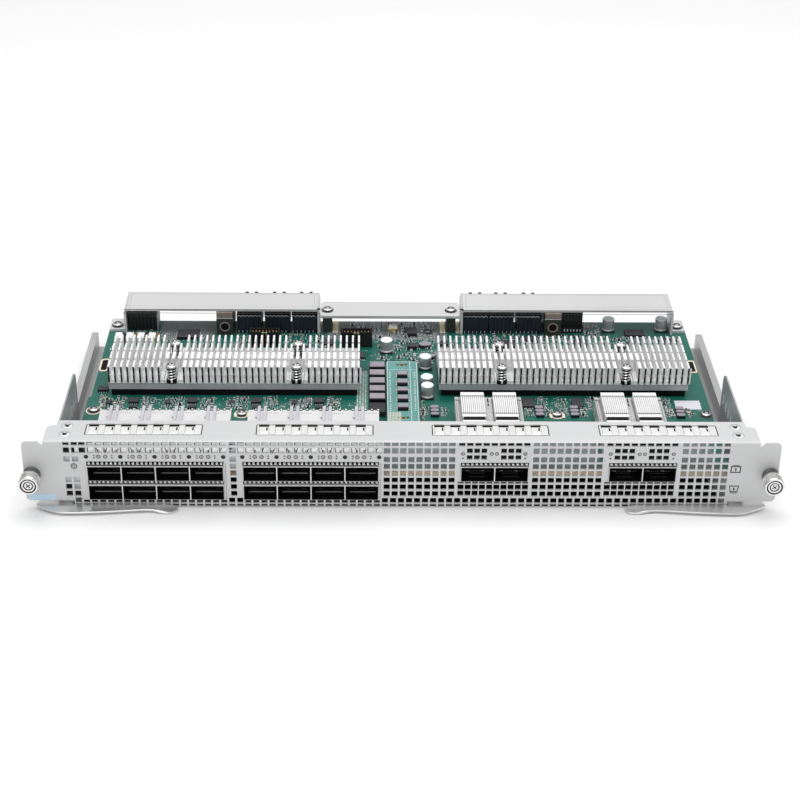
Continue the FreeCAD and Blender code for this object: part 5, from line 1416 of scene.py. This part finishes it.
def cans():
    """Round capacitors: black foot, rolled groove, sleeve and bare top."""
    piece = Piece("round_capacitors", CAN_SIDE, CAN, BLACK)
    for x, y in ((-8.2, 160.0), (17.0, 137.4), (17.3, 110.4), (17.3, 99.4), (143.0, 191.4), (179.0, 192.0)):
        piece.block(x, y, 4.2, 4.2, Z, Z + 1.1, BLACK, 0.2)
        piece.shells(
            (x, y, Z), "z", 32,
            # Bright band above the foot: painted highlight.
            ([(4.15, 1.0), (4.2, 1.4), (4.15, 1.9)], HIGHLIGHT_WHITE),
            ([(4.15, 1.9), (3.75, 2.2), (4.05, 2.6), (4.1, 8.2), (3.95, 8.7)], CAN_SIDE),
            ([(3.95, 8.7), (3.6, 8.95), (3.2, 8.85), (0.0, 8.8)], CAN),
        )
    piece.make(replaces=["capacitors"])


cans()


def power_row():
    """Row of moulded inductors with lilac tops, and the black block in front of the row."""
    piece = Piece("moulded_inductors", COIL, CHIP)
    for y in (86.8, 97.0, 107.2, 117.6, 128.2):
        piece.box(-19.6, -9.3, y - 0.3, y + 7.9, Z, Z + 5.2, BLACK_AND_SHADE)
        piece.box(-19.3, -9.6, y + 1.3, y + 7.9, Z + 4.2, Z + 5.5, COIL, 0.3)
        piece.box(-17.6, -11.3, y + 7.9, y + 8.4, Z, Z + 1.6, SOLDER)
    piece.box(-19.6, -9.3, 74.1, 85.5, Z, Z + 3.9, CHIP, 0.4)
    piece.make(replaces=["inductors"])


power_row()


def pad_grid():
    """Pale grid of small pads beside the inductors."""
    grid = Piece("pad_grid", CREAM, TAN)
    grid.box(-27.6, -20.5, 76.0, 133.0, Z, Z + 0.05, BOARD_PALE)
    for i in range(4):
        for k in range(26):
            x = -27.3 + 1.75 * i
            y = 76.6 + 2.16 * k
            grid.box(x, x + 0.55, y, y + 1.5, Z, Z + 0.35, CREAM if (i + k) % 3 else TAN)
    grid.make()


pad_grid()


def daughter_board():
    """Chips, pads and silk lines of the raised board."""
    piece = Piece("daughter_board_parts", CHIP)
    lo, hi = node_mm("mezzanine_board")
    z = hi[2]
    for y in (72.0, 82.6, 92.8, 103.0, 113.6):
        piece.box(-1.8, 5.0, y + 0.2, y + 5.8, z, z + 1.3, BLACK_AND_SHADE)
        piece.box(-1.6, 4.8, y + 2.2, y + 6.4, z + 1.2, z + 1.9, COIL, 0.2)
        for k in range(3):
            piece.box(-2.6, -1.7, y + 1.2 + 1.9 * k, y + 2.2 + 1.9 * k, z, z + 0.5, SOLDER, 0.1)
            piece.box(4.9, 5.8, y + 1.2 + 1.9 * k, y + 2.2 + 1.9 * k, z, z + 0.5, SOLDER, 0.1)
        for k in range(4):
            for x in (-6.6, 9.0):
                piece.box(x, x + 0.8, y + 2.3 * k, y + 0.9 + 2.3 * k, z, z + 0.3, SILK, 0.1)
    for y in (63.4, 131.0):
        piece.prism(rounded(-0.4, 3.6, y - 1.3, y + 1.3, 1.25), "z", z, z + 0.08, GOLD)
        piece.prism(rounded(0.3, 2.9, y - 0.8, y + 0.8, 0.75), "z", z + 0.05, z + 0.12, BLACK_AND_SHADE)
    for x in (-8.0, 6.6, 10.9):
        piece.box(x, x + 0.3, lo[1] + 0.6, hi[1] - 0.6, z, z + 0.03, SILK)
    for y in (lo[1] + 1.0, 124.6, hi[1] - 0.7):
        piece.box(lo[0] + 0.4, hi[0] - 0.4, y, y + 0.25, z, z + 0.03, SILK)
    for k in range(9):
        x = lo[0] + 1.0 + 0.9 * k
        piece.box(x, x + 0.35, 58.0, 70.5, z, z + 0.2, CREAM)
    piece.make(replaces=["mezzanine_chips"])


daughter_board()


def headers():
    """Contact pins inside the box headers, and the light rim round each."""
    piece = Piece("header_pins", BLACK, GOLD)
    for x0 in (-99.8, -38.6):
        x1 = x0 + 20.9
        rim = rect(x0, x1, 165.6, 173.0)
        well = rect(x0 + 0.5, x1 - 0.5, 166.1, 172.5)
        piece.prism(rim, "z", 29.15, 29.2, MID_GREY, holes=[well])
        for i in range(8):
            for y in (167.9, 170.6):
                x = x0 + 2.6 + 2.25 * i
                piece.block(x, y, 0.4, 0.4, Z + 1.0, Z + 9.6, GOLD, 0.2)
    piece.make()


headers()


def rear_parts():
    """Details of the backplane blocks, guide modules and rear components."""
    piece = Piece("rear_details", BLACK)
    blocks = (-108.9, -90.6, -72.3, 43.9, 61.4, 78.9)
    for x0 in blocks:
        piece.box(x0 + 0.4, x0 + 16.6, 185.4, BLOCK_FACE, 31.9, 36.5, BLACK_AND_SHADE)
        for k in range(6):
            a = x0 + 0.8 + 2.7 * k
            piece.box(a, a + 1.5, 185.3, 185.45, 33.9, 34.6, CHIP_TOP)
            arc = [(a - 0.6 + 0.2 * i, 31.0 + 1.1 * math.sin(math.pi * i / 14)) for i in range(15)]
            arc += [(p, q - 0.5) for p, q in reversed(arc)]
            piece.prism(arc, "y", 185.25, BLOCK_FACE, GREY_AND_HALF_SHADE)
            piece.box(a + 0.9, a + 1.2, 185.5, BLOCK_FACE, 20.0, 30.2, CHIP)
            piece.box(a + 0.2, a + 0.6, 185.2, BLOCK_FACE, 18.9, 20.4, SOLDER)
        for i in range(4):
            for k in range(5):
                a = x0 + 2.6 + 3.1 * i
                z = Z + 3.4 + 2.5 * k
                piece.box(a, a + 0.7, 201.6, 206.4, z, z + 1.3, GOLD)
    for k in range(4):
        x = -181.0 + 5.0 * k
        piece.box(x - 0.12, x + 0.12, 188.85, POWER_FACE, Z + 0.6, Z + 15.6, CONTACT)
        piece.box(x + 1.2, x + 3.2, 188.85, POWER_FACE, Z + 12.2, Z + 14.6, CHIP)
    piece.box(-182.8, -163.5, 188.9, POWER_FACE, Z + 10.6, Z + 10.9, CONTACT)
    piece.box(-163.2, -162.6, 189.4, 203.0, Z, Z + 16.0, COIL, 0.2)
    for k in range(6):
        x = 112.4 + 2.15 * k
        piece.box(x, x + 0.9, 186.7, 187.02, Z + 1.2, Z + 2.8, SOLDER)
        piece.box(x, x + 0.9, 186.8, 187.02, Z + 9.4, Z + 13.4, CHIP_TOP)
    for x in (-53.6, 42.6):
        piece.box(x - 1.2, x + 1.2, 184.4, 186.4, 36.9, 37.0, BLACK_AND_SHADE)
    for name in ("left_bridge", "right_bridge"):
        lo, hi = node_mm(name)
        x0 = max(lo[0], -184.6) + 0.3
        x1 = min(hi[0], 186.0) - 0.3
        # Dark lines along the bridges' edges: painted edge shade.
        piece.box(x0, x1, lo[1] - 0.06, lo[1] + 0.02, hi[2] - 0.5, hi[2] - 0.15, EDGE_SHADE)
        piece.box(x0, x1, lo[1] - 0.06, lo[1] + 0.02, hi[2] - 3.1, hi[2] - 2.8, EDGE_SHADE)
        outer = rect(x0 + 3.4, x1 - 3.4, lo[1] + 1.8, hi[1] - 1.8)
        inner = rect(x0 + 3.65, x1 - 3.65, lo[1] + 2.05, hi[1] - 2.05)
        piece.prism(outer, "z", hi[2] - 0.04, hi[2] + 0.02, MID_GREY, holes=[inner])
        piece.box(x0, x1, hi[1] - 0.4, hi[1] + 0.02, hi[2] - 0.04, hi[2] + 0.02, EDGE_SHADE)
        piece.box(x0, x1, lo[1] + 4.9, lo[1] + 5.15, hi[2] - 0.04, hi[2] + 0.02, MID_GREY)
    lo, hi = node_mm("centre_bar")
    # Dark lines along the centre bar's edges: painted edge shade.
    piece.box(lo[0] + 1.0, hi[0] - 1.0, hi[1] - 0.35, hi[1] + 0.02, hi[2] - 0.04, hi[2] + 0.02, EDGE_SHADE)
    piece.box(lo[0] + 0.6, hi[0] - 0.6, lo[1] - 0.03, lo[1] + 0.02, lo[2] + 0.1, lo[2] + 0.5, EDGE_SHADE)
    piece.make()
    plates = Piece("guide_tops", GUIDE_TOP)
    for x0 in (-122.4, 98.7):
        plates.box(x0 + 0.2, x0 + 11.0, 182.32, 182.5, 31.6, 35.1, GUIDE_TOP)
        plates.box(x0 + 0.2, x0 + 11.0, 182.5, 200.0, 35.1, 35.18, GUIDE_TOP)
        plates.box(x0 + 0.1, x0 + 11.1, 182.3, 182.5, 30.9, 31.3, SILK)
        plates.shells(
            (x0 + 5.65, 182.4, 24.8), "y", 28,
            ([(3.6, -0.02), (3.6, -0.18), (3.2, -0.3), (2.65, -0.1), (2.6, 3.0)], GUIDE_TOP),
            ([(2.7, -0.05), (0.0, -0.02)], BLACK_AND_SHADE),
        )
    plates.make()
    odd = Piece("rear_modules", WHITE)
    for k in range(4):
        x = -189.3 + 7.4 * k
        odd.box(x, x + 4.6, 168.1, 175.9, Z, Z + 5.4, WHITE, 0.4)
        odd.box(x + 4.7, x + 6.6, 168.1, 175.9, Z, Z + 5.0, GOLD if k % 2 else BLACK, 0.3)
        odd.box(x + 5.0, x + 6.2, 168.0, 169.2, Z + 5.0, Z + 5.3, GOLD, 0.1)
    odd.make(replaces=["power_filters"])
    tins = Piece("crystals", COIL)
    for x, y, w, d in ((21.0, 150.0, 6.0, 4.4), (150.5, 157.5, 8.0, 3.6), (17.7, 166.2, 8.4, 5.0)):
        loop = rounded(x - w / 2, x + w / 2, y - d / 2, y + d / 2, d / 2 - 0.1)
        tins.prism(loop, "z", Z, Z + 2.0, BLACK, smooth=True)
        tins.prism(rounded(x - w / 2 + 0.2, x + w / 2 - 0.2, y - d / 2 + 0.2, y + d / 2 - 0.2,
                   d / 2 - 0.3), "z", Z + 1.9, Z + 2.6, COIL, smooth=True)
    tins.box(-6.6, -0.4, 188.0, 192.4, Z, Z + 2.2, GOLD, 0.3)
    tins.box(-6.2, -0.8, 188.6, 192.2, Z + 2.1, Z + 3.4, PALE_AND_LIT, 0.3)
    for x, y in ((9.3, 183.2), (9.0, 164.7)):
        tins.block(x, y, 3.2, 3.0, Z, Z + 2.6, BLACK)
        tins.block(x, y, 3.0, 2.8, Z + 2.5, Z + 3.0, CHIP_TOP, 0.3)
    tins.shells(
        (20.0, 187.0, Z), "z", 24,
        ([(3.0, 0.0), (3.0, 1.2), (1.8, 1.2), (1.8, 0.1)], CONTACT),
        ([(1.8, 0.3), (0.0, 0.35)], SOLDER),
    )
    tins.make()


rear_parts()


def board_screws():
    """Pan-head screws in the board's corners and on the bridges' feet."""
    piece = Piece("pan_screws", SCREW, SCREW_SHADE, HIGHLIGHT_WHITE)
    spots = [(x, y, Z) for x, y in CORNER_SCREWS]
    spots += [(x, 193.0, Z + 1.6) for x in (-190.2, 190.2)]
    spots += [(x, 193.2, 32.0) for x in (-47.9, 35.6)]
    for x, y, z in spots:
        piece.shells(
            (x, y, z), "z", 26,
            ([(4.1, 0.0), (4.1, 0.3), (3.3, 0.35)], KNOB_RING),
            # Dark side of the head and its recess: painted shade.
            ([(3.1, 0.3), (3.1, 1.0)], SCREW_SHADE),
            ([(3.1, 1.0), (2.9, 1.6), (2.4, 1.9), (2.1, 1.95)], SCREW),
            ([(2.1, 1.95), (1.7, 0.9), (0.0, 0.8)], SCREW_SHADE),
        )
        # White cross bars in the recess: painted highlight.
        for k in range(2):
            piece.prism(turned(x, y, 0.3 + k * math.pi / 2, 1.3, 0.25), "z", z + 0.8, z + 1.9, HIGHLIGHT_WHITE)
    piece.make(replaces=["board_screws"])


board_screws()


# -------------------------------------------------------------- CAD materials
def paint(material, *names):
    """Put one material on CAD nodes whose form stays."""
    for n in names:
        mesh = nodes[n].data
        mesh.materials.clear()
        mesh.materials.append(material)


paint(TRAY, "base_tray")
paint(SIDE, "left_side_plate", "right_side_plate")
paint(PLATE_TOP, "left_bridge", "right_bridge", "centre_bar")
paint(POST, "centre_posts")
paint(CAGE, "left_upper_cage", "right_upper_cage", "left_lower_cage", "right_lower_cage", "left_wide_cage",
      "right_wide_cage")
paint(BLACK, "upper_receptacles", "lower_receptacles", "wide_receptacles", "power_connector",
      "signal_connector", "box_headers", "mezzanine_sockets")
paint(BLOCK, "left_backplane_blocks", "right_backplane_blocks")
paint(GUIDE, "left_guide_module", "right_guide_module")
paint(CHIP, "board_chips", "left_switch_chip", "right_switch_chip")
paint(PIPE, "light_pipes")
paint(PAD, "thermal_pads")
paint(LABEL, "board_label")
paint(SCREW, "standoffs", "left_screw_retainer", "right_screw_retainer", "ejector_pivots")
paint(SPRING, "screw_springs")
paint(BOARD, "main_board")
paint(BOARD_PALE, "mezzanine_board")


# ---------------------------------------------------------- camera, light, floor
def camera():
    """Camera that was fitted to the photograph."""
    az = math.radians(-1.177)
    el = math.radians(29.972)
    roll = math.radians(0.74)
    distance = 1.186455
    target = Vector((1.089 * MM, (150.0 + FRONT) * MM, -13.144 * MM))
    back = Vector((math.sin(az) * math.cos(el), -math.cos(az) * math.cos(el), math.sin(el)))
    right = (-back).cross(Vector((0, 0, 1))).normalized()
    up = right.cross(-back)
    right2 = right * math.cos(roll) + up * math.sin(roll)
    up2 = up * math.cos(roll) - right * math.sin(roll)
    data = bpy.data.cameras.new("camera")
    data.lens = 79.76
    data.sensor_width = 36.0
    data.clip_end = 50.0
    obj = bpy.data.objects.new("camera", data)
    bpy.context.scene.collection.objects.link(obj)
    place = Matrix((right2, up2, back)).transposed().to_4x4()
    place.translation = target + back * distance
    obj.matrix_world = place
    bpy.context.scene.camera = obj


camera()


def soft_light(name, spot, aim, size, power):
    """Rectangular area light turned towards a point."""
    data = bpy.data.lights.new(name, "AREA")
    data.shape = "RECTANGLE"
    data.size = size[0]
    data.size_y = size[1]
    data.energy = power
    obj = bpy.data.objects.new(name, data)
    bpy.context.scene.collection.objects.link(obj)
    obj.location = spot
    obj.rotation_euler = (Vector(aim) - Vector(spot)).to_track_quat("-Z", "Y").to_euler()


soft_light("overhead", (0.0, 0.25, 1.7), (0, 0.02, 0), (2.0, 1.6), 25.0)
soft_light("front_fill", (-0.5, -1.9, 1.0), (0, 0, 0.02), (1.6, 1.0), 9.5)
soft_light("side_right", (1.7, -0.3, 0.9), (0, 0, 0.02), (1.0, 1.2), 5.0)


def studio_world():
    """Grey up to the horizon, rising to white overhead; low views show the grey."""
    world = bpy.data.worlds.new("studio")
    bpy.context.scene.world = world
    world.use_nodes = True
    t = world.node_tree
    place = add_node(t, "ShaderNodeTexCoord", {})
    split = add_node(t, "ShaderNodeSeparateXYZ", {"Vector": place.outputs["Generated"]})
    tone = add_node(t, "ShaderNodeValToRGB", {"Fac": split.outputs["Z"]})
    low, high = tone.color_ramp.elements
    low.position = 0.0
    low.color = (0.35, 0.35, 0.36, 1)
    high.position = 0.75
    high.color = (1, 1, 1, 1)
    wire(t, t.nodes["Background"], {"Color": tone.outputs["Color"], "Strength": 0.6})


studio_world()


def floor():
    """Plain paper floor just under the part."""
    mesh = bpy.data.meshes.new("floor")
    e = 8.0
    mesh.from_pydata([(-e, -e, FLOOR), (e, -e, FLOOR), (e, e, FLOOR), (-e, e, FLOOR)], [], [(0, 1, 2, 3)])
    m = make_material("floor_paper", (0.88, 0.88, 0.88), rough=0.75, scale=(3, 3, 3), vary=0.004, bump=0.0)
    mesh.materials.append(m)
    obj = bpy.data.objects.new("floor", mesh)
    bpy.context.scene.collection.objects.link(obj)
    obj.location.z = -0.0002


floor()
bpy.context.scene.view_settings.view_transform = "Standard"
